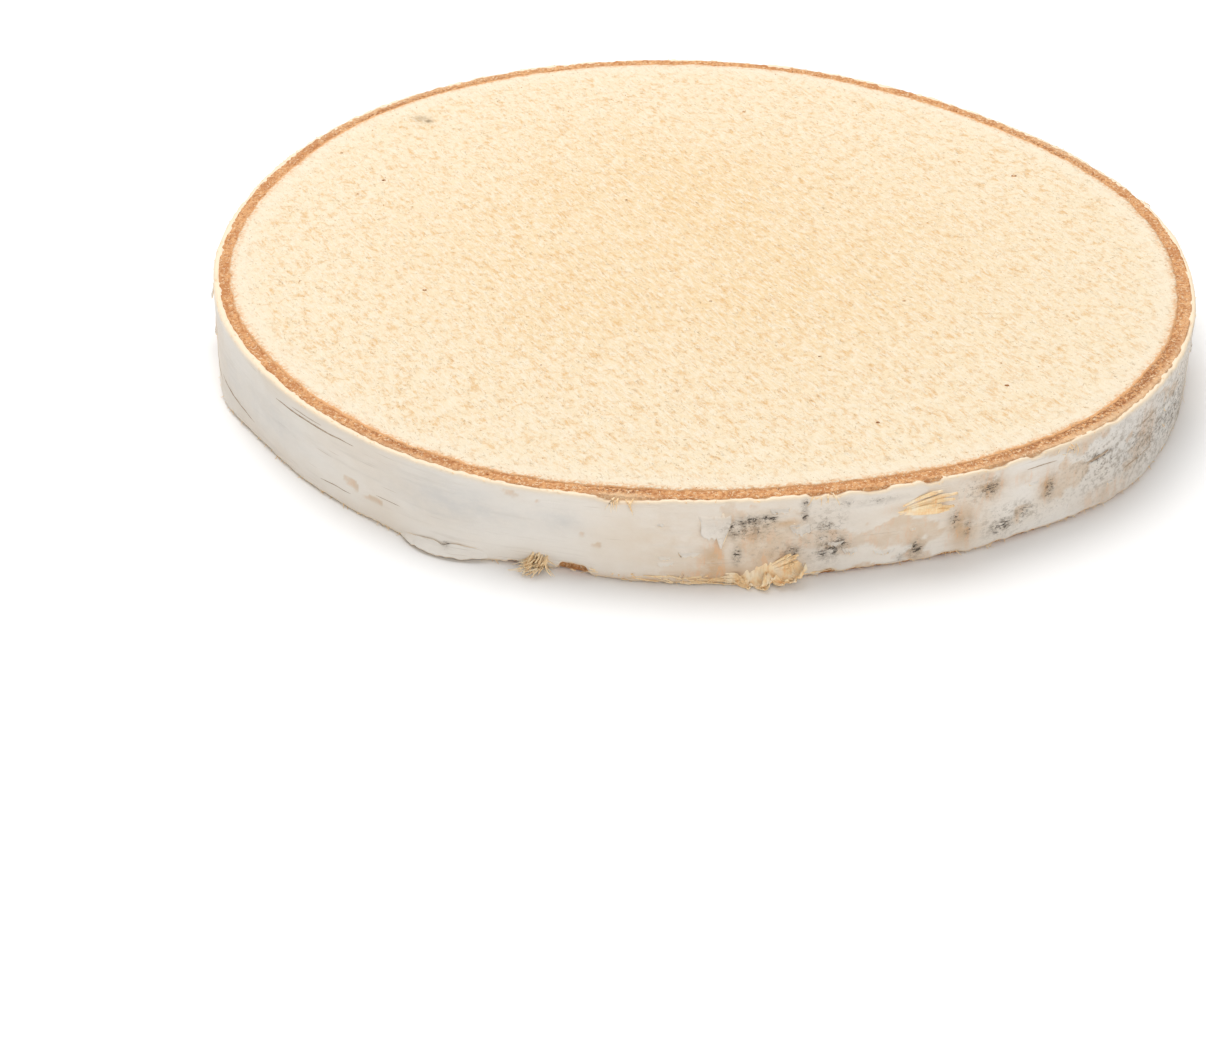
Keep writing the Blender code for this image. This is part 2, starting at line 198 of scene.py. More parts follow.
# A flap's gap, how it hangs and waves, how it swells between its ends, and its cells.
FLAP_GAPS = ((190, 22, 0.45),)
FLAP_CLEAR, FLAP_LOWEST, FLAP_OUT, FLAP_WAVE = 0.12, 0.35, 0.14, 0.1
FLAP_SWELL, FLAP_NARROW, FLAP_THIN, FLAP_CURL = 0.55, 0.55, 0.25, 1.4
FLAP_SPAN, FLAP_START, FLAP_GRID = 1.04, -0.02, (60, 10)
# A curl's sheets, how they stand off, hang, roll, drift, pleat and droop, their tapered ends and cells.
CURL_SHEETS, CURL_THICKNESS, CURL_INNER_SHARE = 3, 0.13, (0.3, 0.8)
CURL_STAND, CURL_STAND_MORE, CURL_RISE, CURL_ROOT_UP = 0.05, 0.12, 1.3, 0.4
CURL_HANGS, CURL_NARROW, CURL_TORN = 0.25, 0.35, (0.75, 0.8)
CURL_DRIFT, CURL_PLEAT, CURL_CRUMPLE, CURL_DROOP = (0.7, 0.8), (0.5, 0.45), 0.1, 0.15
CURL_START, CURL_SPAN, CURL_SWELL, CURL_ROOT_TORN = 0.03, 0.94, 0.6, 0.7
CURL_LOOSE, CURL_GRID, TORN_APART = (0.1, 0.5), (56, 20), 5
# A strip's ribbons, how they narrow, point, curl back and cup, how they wave and lift, and their cells.
STRIP_RIBBONS, STRIP_NARROW, STRIP_POINT, STRIP_SHORTER, STRIP_CUP = 6, 0.25, 0.85, 0.2, 0.25
STRIP_WAVE_OUT, STRIP_WAVE_UP, STRIP_LIFT = 0.3, 0.25, 1.8
STRIP_SPREADS, STRIP_CURLS, STRIP_GRID = (0.0, 0.75), (0.5, 1.0), (4, 24)
# How many fibres a tuft has, and how they curl, fall and reach out. Then those that hang from the upper rim.
TUFT_FIBRES, TUFT_TURNS, TUFT_CLEAR = 90, 7, 0.1
TUFT_FALL, TUFT_OUT, TUFT_BEND, TUFT_NEAR = 0.8, 0.6, 0.6, 1.5
RIM_BEND, RIM_FALL = 2.2, 1.5
# How fibres are made: so many at a time, their spacing while they are made, sides, rows and taper.
BATCH = 200
STRAND_SPACING, STRAND_SIDES, STRAND_CUTS, STRAND_TIP, STRAND_AHEAD = 2.0, 4, 4, 0.12, 0.05
# The share of the hairs on the upper edge, the share kept where the lower edge is even, their room and lean.
UPPER_HAIRS, HAIRS_KEPT, HAIR_CLEAR, HAIR_OUT = 0.35, 0.3, 0.08, 0.3
HAIR_LENGTHS = {True: (0.2, 0.55), False: (0.3, 1.0)}
HAIR_ROOTS = {True: -0.1, False: 0.12}
# How thick and how sunk a line is, how far apart lines read their noise, and its sides and rows.
LINE_DEPTH, LINE_SINK, LINES_APART, LINE_SIDES, LINE_ROWS = 0.05, 0.015, 3.0, 6, 18

# Waves in the torn sheets: strength, how often they turn across and along the sheet, their slant.
RIPPLES = {
    "scale_end": (0.4, 2.6, 0.0, 0.0),
    "scale_teeth": (0.4, 8.0, 0.0, 0.0),
    "scale_side": (0.3, 1.0, 3.0, 0.0),
    "scale_curl": (0.1, 2.0, 2.0, 0.0),
    "flap": (1.0, 4.0, 0.0, 0.0),
    "flap_teeth": (0.25, 14.0, 0.0, 0.0),
    "pleat": (1.0, 0.8, 0.3, 0.9),
    "crumple": (1.0, 2.6, 1.5, 2.0),
    "curl_end": (1.0, 2.0, 0.0, 0.0),
    "ribbon": (1.0, 0.0, 0.0, 3.0),
}

# How small parts vary. Each number is drawn evenly between two values, or about a middle with a spread.
VARIATIONS = {
    "line": {
        "level": (0.8, THICKNESS - 0.8), "length": (2.0, 10.0), "rise": (-0.3, 0.3), "width": (0.07, 0.24),
    },
    "mark": {
        "level": (0.5, THICKNESS - 0.5), "wide": (0.4, 1.0), "tall": (0.4, 1.0), "strength": (0.5, 1.0),
    },
    "peel": {
        "centre": (255, 555), "top": (2.5, 9.4), "width": (0.6, 2.6), "tall": (0.3, 1.0),
        "lift": (0.06, 0.22),
    },
    "scale": {"lean": (-0.2, 0.2), "seed": (0, 99)},
    "curl": {"seed": (0, 99), "size": (0.55, 0.85)},
    "curl_place": {"shift": (-0.5, 0.5), "turn": (130, 260)},
    "ribbon": {
        "seed": (0, 99), "reach": (0.72, 1.0), "width": (0.9, 1.5), "lift": (0.45, 1.0),
        "torn_from": (0.6, 0.85),
    },
    "tuft": {
        "start": (-0.9, 0.9), "root": (0.8, 2.2), "tip": (LOWEST_TIP + 0.1, 1.0), "out": (0.0, 1.0),
        "drift": ("about", -0.7, 0.8), "curl": (0.04, 0.16), "phase": (0, 6), "width": (0.1, 0.34),
    },
    "trail": {
        "root": (LOWEST_TIP + 0.15, 1.1), "reach": ("about", 0.0, 1.6), "rise": (-0.3, 0.5),
        "out": (0.02, 0.4), "width": (0.1, 0.32),
    },
    "rim_tuft": {
        "start": (-1.2, 1.2), "root": (9.4, 9.75), "fall": (0.3, 1.3), "out": (0.15, 0.6),
        "drift": ("about", 0.0, 0.5), "width": (0.1, 0.22),
    },
    "hair": {
        "inset": (0.0, 0.65), "out": (-0.1, 0.5), "drift": ("about", 0.0, 0.5), "rise": (0.1, 0.5),
        "width": (0.05, 0.13),
    },
    "fuzz": {"length": (0.35, 1.0), "width": (0.04, 0.11), "heading": ("about", 0.0, 0.35)},
    "crumb": {
        "turn": (0, 6.28), "tip": (0, 6.28), "long": (0.6, 1.8), "wide": (0.6, 1.2), "flat": (0.4, 0.9),
    },
}
# The shares of crumbs on the upper face and on the ring, where they lie, their sizes, how sunk they are.
UPPER_CRUMBS, RING_CRUMBS, CRUMB_SPREAD = 0.7, 0.75, 9.0
RING_CRUMB_INSET, RING_CRUMB_SIZE, WOOD_CRUMB_SIZE = (0.8, 2.3), (0.06, 0.16), (0.04, 0.1)
RING_CRUMB_SINK, WOOD_CRUMB_RISE, CRUMB_CLEAR = 0.02, 0.04, 1.8

# Marks on the bark: degrees, height, spread in degrees, spread in height, strength.
MARKS = {
    # Dark stains, and last a painted shadow: the dark seen through the gap in the flap at 241.2 degrees.
    "stain": (
        (271.4, 6.4, 1.2, 0.8, 1.0), (273.2, 7.2, 1.4, 0.7, 0.95), (275.3, 7.6, 1.1, 0.65, 1.0),
        (274.0, 6.1, 2.2, 0.7, 0.4),
        (272.2, 3.4, 0.5, 1.1, 0.95), (277.9, 3.4, 0.8, 0.7, 0.9), (279.1, 9.0, 0.45, 0.65, 1.0),
        (279.1, 7.5, 0.4, 0.7, 0.95), (281.3, 6.2, 0.9, 0.9, 0.8), (282.6, 3.6, 1.3, 1.1, 1.0),
        (281.2, 2.9, 0.9, 0.8, 0.7), (283.5, 8.7, 0.7, 0.5, 0.5), (291.3, 1.8, 0.9, 1.1, 1.0),
        (289.6, 1.2, 0.5, 0.4, 0.8), (313.4, 6.7, 2.1, 0.4, 1.0), (306.9, 5.2, 0.8, 1.5, 0.85),
        (299.3, 7.6, 1.2, 1.2, 0.8), (301.0, 2.4, 1.6, 1.0, 0.9), (303.8, 3.6, 1.2, 1.0, 0.6),
        (322.0, 5.0, 9.0, 3.5, 0.4), (333.0, 4.0, 8.0, 4.0, 0.5), (286.8, 8.5, 2.5, 0.5, 0.45),
        # The last mark of the next line is a painted shadow in the gap of the flap at 241.2 degrees, not a
        # stain.
        (295.4, 4.6, 0.7, 1.2, 0.8), (297.0, 3.4, 0.6, 1.5, 0.6), (241.8, 1.15, 0.55, 0.3, 1.0),
    ),
    # Tan places where the paper is gone.
    "tan": (
        (269.8, 2.9, 1.3, 2.3, 1.0), (274.2, 5.2, 2.6, 1.6, 0.5), (277.3, 6.9, 1.5, 0.4, 1.0),
        (275.5, 2.6, 2.2, 1.3, 0.6), (296.3, 3.6, 1.5, 2.4, 1.0), (299.3, 7.6, 1.7, 1.4, 0.95),
        (306.6, 5.6, 1.2, 1.7, 0.85), (271.0, 1.2, 4.0, 0.8, 0.9), (291.5, 7.2, 2.8, 0.5, 0.9),
        (303.6, 7.6, 1.5, 0.8, 0.5), (315.0, 1.6, 3.5, 1.2, 0.5), (323.0, 6.2, 2.0, 2.6, 0.45),
        (260.3, 9.7, 2.4, 0.3, 1.0), (264.0, 0.2, 13.0, 0.6, 0.6), (297.8, 9.3, 2.5, 0.5, 0.5),
    ),
    # Places where the paper is warmer.
    "warm": (
        (265.5, 4.5, 6.0, 7.0, 0.6), (275.0, 4.6, 5.5, 5.0, 0.95), (285.0, 4.5, 4.0, 4.5, 0.3),
        (297.5, 5.0, 4.0, 4.5, 0.45), (208.0, 1.0, 9.0, 2.0, 0.3),
    ),
    # Blue-grey patches.
    "grey": (
        (243.0, 6.3, 8.0, 2.6, 0.7), (254.0, 6.4, 2.5, 1.6, 0.6), (214.0, 5.0, 8.0, 3.0, 0.45),
        (321.0, 5.2, 14.0, 5.5, 0.5), (281.5, 4.5, 4.0, 4.5, 0.35), (203.0, 4.0, 6.0, 4.0, 0.35),
    ),
    # Places with many small grey specks.
    "speckle": (
        (314.0, 5.8, 5.0, 3.2, 0.8), (323.0, 5.2, 6.0, 4.0, 0.9), (333.0, 4.5, 6.0, 4.5, 1.0),
        (281.5, 5.0, 2.0, 3.0, 0.75), (302.5, 3.0, 4.0, 1.8, 0.7), (273.7, 6.4, 2.8, 1.1, 0.9),
        (276.5, 3.6, 3.0, 1.4, 0.4), (298.0, 7.6, 2.2, 1.6, 0.7),
    ),
}
# The same marks outside the front: how many, and their largest spreads and strength.
HIDDEN_MARKS = {
    "stain": (26, 3.0, 1.6, 1.0), "tan": (12, 3.5, 2.6, 0.9), "warm": (8, 8.0, 5.0, 0.7),
    "grey": (10, 9.0, 5.0, 0.8), "speckle": (8, 9.0, 5.0, 0.8),
}
# Where the cut edge of the bark is palest, and where the ring is darkest, as marks.
PALE_RIM = ((208.0, 10.0, 18.0, 9.0, 1.0), (312.0, 10.0, 16.0, 9.0, 0.9), (60.0, 10.0, 30.0, 9.0, 0.8))
DARK_RING = (
    (318.0, 10.0, 20.0, 9.0, 0.75), (130.0, 5.0, 18.0, 20.0, 0.5), (260.4, 10.0, 3.0, 9.0, 0.85),
    (236.0, 10.0, 8.0, 9.0, 0.4), (30.0, 10.0, 12.0, 9.0, 0.5),
)
# Long thin lines in the bark: degrees and height at each end, width.
LINES = (
    (214.6, 8.05, 229.9, 8.35, 0.27), (199.3, 3.4, 209.6, 2.0, 0.22), (223.4, 2.0, 228.8, 2.2, 0.14),
    (218.5, 8.6, 224.5, 8.75, 0.1), (311.6, 6.55, 315.2, 6.85, 0.42), (303.5, 8.4, 307.6, 8.3, 0.16),
    (317.5, 3.2, 324.5, 3.3, 0.18), (320.5, 7.2, 325.5, 7.3, 0.15), (232.4, 3.6, 236.1, 3.7, 0.09),
)
# Knots in the sawn faces: place from the middle of the rim, size, strength.
KNOTS = (
    ((-34.3, 36.9, 10.0), 0.8, 0.85), ((-35.4, 37.7, 10.0), 1.5, 0.35), ((-12.0, -26.0, 0.0), 1.3, 0.7),
)
# A knot's parts: how much larger and fainter than the knot, and colour.
KNOT_PARTS = ((1.9, 0.45, "wood_speck"), (1.0, 1.0, "knot"))
KNOT_RAGGED, KNOT_OUTER, KNOT_INNER = 0.9, 1.3, 0.6
# Dark specks on the upper face: place from the middle of the rim, size.
SPECKS = (
    (-38.8, 18.6, 0.24), (-41.7, 14.5, 0.2), (-34.7, 10.8, 0.17), (-44.8, 26.8, 0.22), (40.5, 19.8, 0.34),
    (28.1, 6.3, 0.2), (23.1, -14.0, 0.22), (32.1, -33.4, 0.24), (17.5, -41.2, 0.2), (-31.8, -11.3, 0.28),
    (1.0, -14.0, 0.18), (-8.4, 12.8, 0.18), (12.5, -27.0, 0.18), (7.5, 40.0, 0.24), (-18.0, -29.0, 0.16),
)
SPECK_SHAPE, SPECK_DARK = (1.2, 0.8, 0.3, 1.0), 0.75

# The finishes. A noise is its size along X, Y and Z, detail, roughness, shift in metres and turn. A layer
# is its colour, the mark that it is kept to, the most of it that shows and, where it follows a pattern, the
# pattern, its values where least and most of the layer show, and that least. Roughness is such a layer
# without a colour. Relief is patterns and their strengths, and the bump is its strength and depth.
FINISHES = {
    "sawn_birch": {
        "specular": 0.3,
        "noises": {
            "cloud": (14, 14, 14, 3, 0.55, 0.0, 0.0),
            "clumps": (1.1, 2.4, 1.5, 5, 0.75, 0.04, ACROSS_FIBRE),
            "streaks": (0.28, 1.3, 0.4, 4, 0.65, 0.0, ACROSS_FIBRE),
            "tufts": (0.9, 0.9, 0.9, 4, 0.7, 0.02, 0.0),
            "specks": (0.33, 0.5, 0.33, 2, 0.8, 0.05, FIBRE_HEADING),
            "knot_edge": (0.5, 0.5, 0.5, 3, 0.55, 0.01, 0.0),
        },
        "base": "wood",
        "layers": (
            ("wood_deep", "heart", 1.0, "cloud", 0.2, 0.7, 0.45),
            ("wood_shade", None, 0.8, "clumps", 0.5, 0.36),
            ("wood_pale", None, 0.9, "streaks", 0.38, 0.7),
            ("wood_shade", None, 0.7, "tufts", 0.5, 0.28),
            ("wood_pale", "border", 0.55),
            ("inner", "near_ring", 1.0, "specks", 0.4, 0.6),
            ("inner", None, 1.0, "near_ring", 0.8, 0.97),
            ("wood_speck", None, 0.6, "specks", 0.64, 0.7),
        ),
        "roughness": (None, 0.95, "tufts", 0.3, 0.7, 0.8),
        "relief": (("streaks", 1.0), ("tufts", 1.0)),
        "bump": (0.7, 0.28),
    },
    "inner_bark": {
        "specular": 0.15,
        "noises": {
            "grains": (0.45, 0.45, 0.45, 4, 0.75, 0.0, 0.0),
            "coarse": (2.4, 2.4, 2.4, 2, 0.55, 0.03, 0.0),
            "flecks": (0.3, 0.3, 0.3, 2, 0.8, 0.06, 0.0),
        },
        "base": "inner_dark",
        "layers": (
            ("inner", None, 1.0, "grains", 0.38, 0.58),
            ("inner_dark", None, 0.7, "coarse", 0.45, 0.65),
            ("inner_deep", "dark", 1.0, "grains", 0.6, 0.45),
            ("inner_pale", None, 0.8, "flecks", 0.55, 0.64),
            ("inner_pale", "pale", 1.0),
        ),
        "roughness": (None, 0.98, "grains", 0.3, 0.7, 0.8),
        "relief": (("grains", 1.0),),
        "bump": (0.8, 0.3),
    },
    "outer_bark": {
        "specular": 0.35,
        "noises": {
            "cloud": (14, 14, 7, 3, 0.55, 0.0, 0.0),
            "bands": (9, 9, 0.7, 3, 0.55, 0.02, 0.0),
            "lines": (6, 6, 0.16, 1, 0.4, 0.04, 0.0),
            "upright": (0.8, 0.8, 2.6, 4, 0.7, 0.07, 0.0),
            "mottle": (2.2, 2.2, 1.6, 4, 0.65, 0.06, 0.0),
            "flecks": (0.75, 0.75, 0.26, 5, 0.8, 0.03, 0.0),
            "fine": (0.35, 0.35, 0.3, 3, 0.7, 0.08, 0.0),
            "crumbs": (0.8, 0.8, 0.55, 4, 0.75, 0.09, 0.0),
        },
        "base": "paper",
        "layers": (
            ("paper_warm", None, 1.0, "cloud", 0.35, 0.7),
            ("paper_beige", "warm", 1.0, "mottle", 0.3, 0.7, 0.5),
            ("paper_shade", None, 0.5, "bands", 0.52, 0.75),
            ("paper_grey", "grey", 1.0, "mottle", 0.3, 0.7, 0.55),
            ("stain", "speckle", 0.75, "crumbs", 0.5, 0.6),
            ("tan", "tan", 1.0, "mottle", 0.3, 0.55, 0.4),
            ("inner", "tan", 0.6, "upright", 0.5, 0.62),
            ("paper_line", None, 0.45, "lines", 0.71, 0.78),
            # The stain marks include a painted shadow behind the gap of the flap at 241.2 degrees.
            ("stain", "crumbly", 0.7),
            ("stain_deep", None, 0.95, "dots", 0.2, 0.7),
            ("stain_deep", "spotted", 0.8, "fine", 0.6, 0.65),
            ("bark_cut", "cut", 1.0),
        ),
        "roughness": (None, 0.72, "crumbs", 0.3, 0.7, 0.5),
        "relief": (("bands", 0.8), ("fine", 0.4), ("crumbly", -0.6)),
        "bump": (0.45, 0.3),
    },
    "torn_fibre": {
        "specular": 0.2,
        "noises": {
            "streaks": (0.25, 0.25, 1.6, 3, 0.7, 0.0, 0.0),
            "cloud": (1.6, 1.6, 1.6, 2, 0.55, 0.03, 0.0),
        },
        "base": "fibre_dark",
        "layers": (
            ("fibre", None, 1.0, "streaks", 0.3, 0.65),
            ("fibre_pale", None, 0.7, "cloud", 0.45, 0.7),
        ),
        "roughness": (None, 0.9, "streaks", 0.3, 0.7, 0.7),
        "relief": (("streaks", 1.0),),
        "bump": (0.6, 0.15),
    },
    "bark_line": {
        "specular": 0.2,
        "noises": {"mottle": (0.8, 0.8, 0.4, 3, 0.55, 0.0, 0.0)},
        "base": "line",
        "layers": (("paper_line", None, 1.0, "mottle", 0.35, 0.65),),
        "roughness": (None, 0.9, "mottle", 0.3, 0.7, 0.7),
        "relief": (("mottle", 1.0),),
        "bump": (0.4, 0.1),
    },
    "pale_floor": {
        "specular": 0.1,
        "noises": {"mottle": (60, 60, 60, 2, 0.55, 0.0, 0.0)},
        "base": "floor",
        "layers": (("floor_shade", "mottle", 1.0),),
        "roughness": (None, 0.9, "mottle", 0.0, 1.0, 0.85),
        "relief": (("mottle", 1.0),),
        "bump": (0.02, 0.1),
    },
}
# Patterns made for the outer bark from a mark and a noise, written as a layer is.
STAIN_PATTERNS = {
    "crumbly": ("stain", 1.0, "crumbs", 0.38, 0.6, 0.25),
    "dots": ("stain", 1.0, "flecks", 0.5, 0.58),
}

# Where the camera stands, from the middle of the rim at the upper face, and how it looks.
CAMERA_PLACE = (-11.27, -257.77, 127.56)
CAMERA_PITCH = 33.0
PHOTO_WIDTH = 1206
FOCAL_PIXELS = 2400
SENSOR_WIDTH = 36.0
CLIP_START = 0.01
# Lights: name, place and width in metres, power in watts.
LIGHTS = (("large_softbox", (-0.15, 0.35, 0.75), 0.8, 6.6), ("front_fill", (0.2, -0.8, 0.45), 0.8, 2.4))
SKY_COLOUR, SKY_STRENGTH = (1.0, 0.99, 0.98, 1.0), 0.42
FLOOR_CELLS, FLOOR_HALF = 8, 2.0


def apart(degrees, centre):
    """How far round the rim a place lies from a centre, from -180 to 180."""
    return (degrees - centre + 180) % 360 - 180


def bumps(degrees, stretches):
    """How strong each stretch is at a place: a smooth bump round its middle."""
    return [
        strength * math.exp(-((apart(degrees, centre) / spread) ** 2))
        for centre, spread, strength in stretches
    ]


def between(value, low, high):
    """A smooth step from 0 at low to 1 at high."""
    share = min(max((value - low) / (high - low), 0.0), 1.0)
    return share * share * (3 - 2 * share)


def drawn(draw, kind):
    """Draws the numbers of a variation, in their order."""
    picked = {}
    for name, (*about, low, high) in VARIATIONS[kind].items():
        picked[name] = draw.gauss(low, high) if about else draw.uniform(low, high)
    return SimpleNamespace(**picked)


def outline_radius(degrees):
    """The bark's radius at the upper face: a smooth curve through the measured radii."""
    place = degrees / 360 * len(BARK_RADII)
    first = math.floor(place)
    t = place - first
    a, b, c, d = (BARK_RADII[(first + step) % len(BARK_RADII)] for step in (-1, 0, 1, 2))
    return b + 0.5 * t * (c - a + t * (2 * a - 5 * b + 4 * c - d + t * (3 * (b - c) + d - a)))


def rough(name, degrees, height=0.0):
    """One of the noises, at a place on the bark."""
    strength, size, tall, seed = NOISES[name]
    turn = math.radians(degrees)
    radius = outline_radius(degrees) / size
    place = (radius * math.cos(turn) + seed, radius * math.sin(turn) + seed, height / tall + seed)
    return strength * noise.noise(Vector(place))


def face_noise(name, x, y):
    """One of the sawn faces' noises, at a place on the face."""
    strength, long, wide, seed = FACE_NOISES[name]
    return strength * noise.noise(Vector((x / long, y / wide, seed)))


def ripple(name, seed, u, v=0.0):
    """One of the waves in a torn sheet, at a place across and along it."""
    strength, across, along, slant = RIPPLES[name]
    return strength * noise.noise(Vector((across * u + slant * v, along * v, seed)))


def bark_radius(degrees, height):
    """The frame's bark surface."""
    shift = sum(bumps(degrees, LOWER_EDGE_SHIFTS))
    return outline_radius(degrees) + shift * (1 - height / THICKNESS) + rough("relief", degrees, height)


def rim_radius(degrees, upper):
    """The bark surface at the upper or the lower sawn face."""
    return bark_radius(degrees, THICKNESS if upper else 0.0)


def weathering(degrees):
    """How rough and peeled the bark is at this place, from 0 for smooth paper to 1."""
    first, last = HIDDEN_STRETCH
    fade_in, fade_out = HIDDEN_FADES
    along, span = (degrees - first) % 360, last - first
    hidden = between(along, 0, fade_in) * (1 - between(along, span - fade_out, span))
    wear = HIDDEN_WEAR + rough("hidden_wear", degrees)
    return min(max(max(bumps(degrees, WORN_STRETCHES)) + hidden * wear, 0.0), 1.0)


def edge_height(degrees, upper):
    """Where the outer bark ends, short of the sawn face by a ragged amount."""
    ragged = EDGE_RAGGED
    if not upper:
        ragged += (TORN_RAGGED - EDGE_RAGGED) * max(bumps(degrees, RAGGED_STRETCHES))
    level = EDGES_APART * upper
    drop = EDGE_DROP + ragged * (0.5 + rough("teeth", degrees, level))
    drop += rough("nibbles", degrees, level) + ragged * rough("tears", degrees)
    drop += WORN_RIM_DROP * upper * weathering(degrees) * between(rough("worn_rim", degrees), *WORN_RIM_STEP)
    for centre, half, depth in UPPER_NOTCHES if upper else LOWER_NOTCHES:
        inside = NOTCH_REACH - abs(apart(degrees, centre)) / half + rough("notch_edge", degrees)
        drop += depth * between(inside, 0.0, NOTCH_SLOPE)
    drop = max(drop, LEAST_DROP)
    return THICKNESS - drop if upper else drop


def peeled(degrees, height):
    """1 where the outermost paper has come off, 0 where it holds, with a sharp edge between."""
    patch = rough("peeled_patches", degrees, height) + rough("peeled_edges", degrees, height)
    return between(patch + PEELED_WEAR * (weathering(degrees) - 1), *PEELED_STEP)


def bark_surface(degrees, height):
    """The finished outer surface of the bark."""
    wrinkle = rough("wrinkles", degrees, height) + rough("fine_wrinkles", degrees, height)
    crust = weathering(degrees) * rough("crust", degrees, height)
    return bark_radius(degrees, height) + wrinkle + crust - PAPER_DEPTH * peeled(degrees, height)


def cut_width(degrees, sizes):
    """The outer bark is thicker at the left."""
    return sizes.outer_width * (1 + sum(bumps(degrees, THICK_BARK)))


def ring_width(degrees, sizes):
    """The inner bark is wider at the right of the front."""
    return sizes.inner_width * (1 + (sum(bumps(degrees, WIDE_RING)) + rough("ring_width", degrees)))


def wood_edge(degrees, sizes, upper):
    """The radius of the sawn wood, with the small waves of its join to the bark."""
    waves = rough("join_waves", degrees) + rough("join_teeth", degrees)
    return rim_radius(degrees, upper) - cut_width(degrees, sizes) - ring_width(degrees, sizes) + waves


def wood_relief(x, y):
    """The unevenness of a sawn face at a place: tufts, slanted furrows and saw marks."""
    cosine, sine = math.cos(FIBRE_HEADING), math.sin(FIBRE_HEADING)
    along, across = x * cosine + y * sine, y * cosine - x * sine
    saw_marks = SAW_DEPTH * math.sin(along * SAW_PITCH + face_noise("saw_wander", x, y))
    return face_noise("tufts", x, y) + face_noise("furrows", along, across) + saw_marks


def box_middle(points):
    """The middle of the box round some points."""
    return [(min(axis) + max(axis)) / 2 for axis in zip(*points)]


def rim_centre():
    """Where the measured radii have their centre in the frame, found from the frame's lower sawn face."""
    mesh = frame["nodes"][NODE].data
    found = [vert.co.xy / MM for vert in mesh.vertices if abs(vert.co.z) < FLAT * MM]
    drawn_rim = []
    for step in range(FRAME_COLUMNS):
        degrees = 360 * step / FRAME_COLUMNS
        radius, turn = bark_radius(degrees, 0.0) - FRAME_INSET, math.radians(degrees)
        drawn_rim.append((radius * math.cos(turn), radius * math.sin(turn)))
    (left, front), (right, back) = box_middle(found), box_middle(drawn_rim)
    return Vector((left - right, front - back, 0.0))


CENTRE = rim_centre()


def spot(x, y, height):
    """A point in metres from its place about the middle of the rim."""
    return (CENTRE + Vector((x, y, height))) * MM


def point(degrees, radius, height):
    """A point in metres from its place round, out and up."""
    turn = math.radians(degrees)
    return spot(radius * math.cos(turn), radius * math.sin(turn), height)


def on_bark(degrees, offset, height):
    """A point in metres at an offset from the bark's finished surface."""
    return point(degrees, bark_surface(degrees, height) + offset, height)


def degrees_of(length):
    """The angle that a length along the bark takes up."""
    return math.degrees(length / MEAN_RADIUS)


def lifted(lift, share, root):
    """The offset of a sheet that rises from its sunk root to its full lift."""
    return root + (lift - root) * share


def new_object(name, bm, colours, finishes):
    """Makes a finished mesh an object of the scene."""
    mesh = bpy.data.meshes.new(name)
    bm.to_mesh(mesh)
    bm.free()
    for finish in finishes:
        mesh.materials.append(material_of(finish, colours))
    made = bpy.data.objects.new(name, mesh)
    bpy.context.scene.collection.objects.link(made)
    return made


def new_piece(name, bm, colours, finishes):
    """Makes a finished mesh a piece of the slice, which rides on its one body and stands for its solid."""
    piece = new_object(name, bm, colours, finishes)
    piece.data.shade_smooth()
    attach(piece, "root")
    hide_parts(NODE)
    return piece


def lofted(sections):
    """A closed band of rings of points, extruded one after another. A section is from degrees to a point."""
    bm = bmesh.new()
    bmesh.ops.create_circle(bm, cap_ends=False, segments=RING_COLUMNS, radius=1.0)
    turns = {}
    for vert in bm.verts:
        turns[vert] = round(math.degrees(math.atan2(vert.co.y, vert.co.x)) % 360, 5)
        vert.co = sections[0](turns[vert])
    first = list(bm.edges)
    edges = first
    for section in sections[1:]:
        made = bmesh.ops.extrude_edge_only(bm, edges=edges)["geom"]
        edges = [item for item in made if isinstance(item, bmesh.types.BMEdge)]
        fresh = {vert for edge in edges for vert in edge.verts}
        old_of = {}
        for vert in fresh:
            for edge in vert.link_edges:
                other = edge.other_vert(vert)
                if other not in fresh:
                    old_of[vert] = other
        for vert in fresh:
            turns[vert] = turns[old_of[vert]]
            vert.co = section(turns[vert])
    bmesh.ops.bridge_loops(bm, edges=first + edges)
    bmesh.ops.recalc_face_normals(bm, faces=list(bm.faces))
    return bm


def in_batches(count, make):
    """A bmesh of many small shapes, made a batch at a time, which keeps each operator quick."""
    whole = bmesh.new()
    for first in range(0, count, BATCH):
        small = bmesh.new()
        for number in range(first, min(first + BATCH, count)):
            make(small, number)
        mesh = bpy.data.meshes.new("batch")
        small.to_mesh(mesh)
        small.free()
        whole.from_mesh(mesh)
        bpy.data.meshes.remove(mesh)
    return whole


def strands(jobs):
    """Tapered fibres. A job is a path, a function from 0 to 1 to a point in metres, and a width."""

    def make(bm, number):
        bmesh.ops.create_cone(
            bm, cap_ends=True, segments=STRAND_SIDES, radius1=0.5, radius2=STRAND_TIP, depth=1.0,
            matrix=Matrix.Translation((STRAND_SPACING * number, 0, 0)),
        )

    bm = in_batches(len(jobs), make)
    rising = [edge for edge in bm.edges if abs(edge.verts[0].co.z - edge.verts[1].co.z) > 0.5]
    bmesh.ops.subdivide_edges(bm, edges=rising, cuts=STRAND_CUTS)
    for vert in bm.verts:
        number = round(vert.co.x / STRAND_SPACING)
        path, width = jobs[number]
        share = vert.co.z + 0.5
        ahead = (path(min(share + STRAND_AHEAD, 1.0)) - path(max(share - STRAND_AHEAD, 0.0))).normalized()
        side = ahead.orthogonal().normalized()
        up = ahead.cross(side)
        across = (vert.co.x - STRAND_SPACING * number) * width * MM
        vert.co = path(share) + side * across + up * (vert.co.y * width * MM)
    return bm


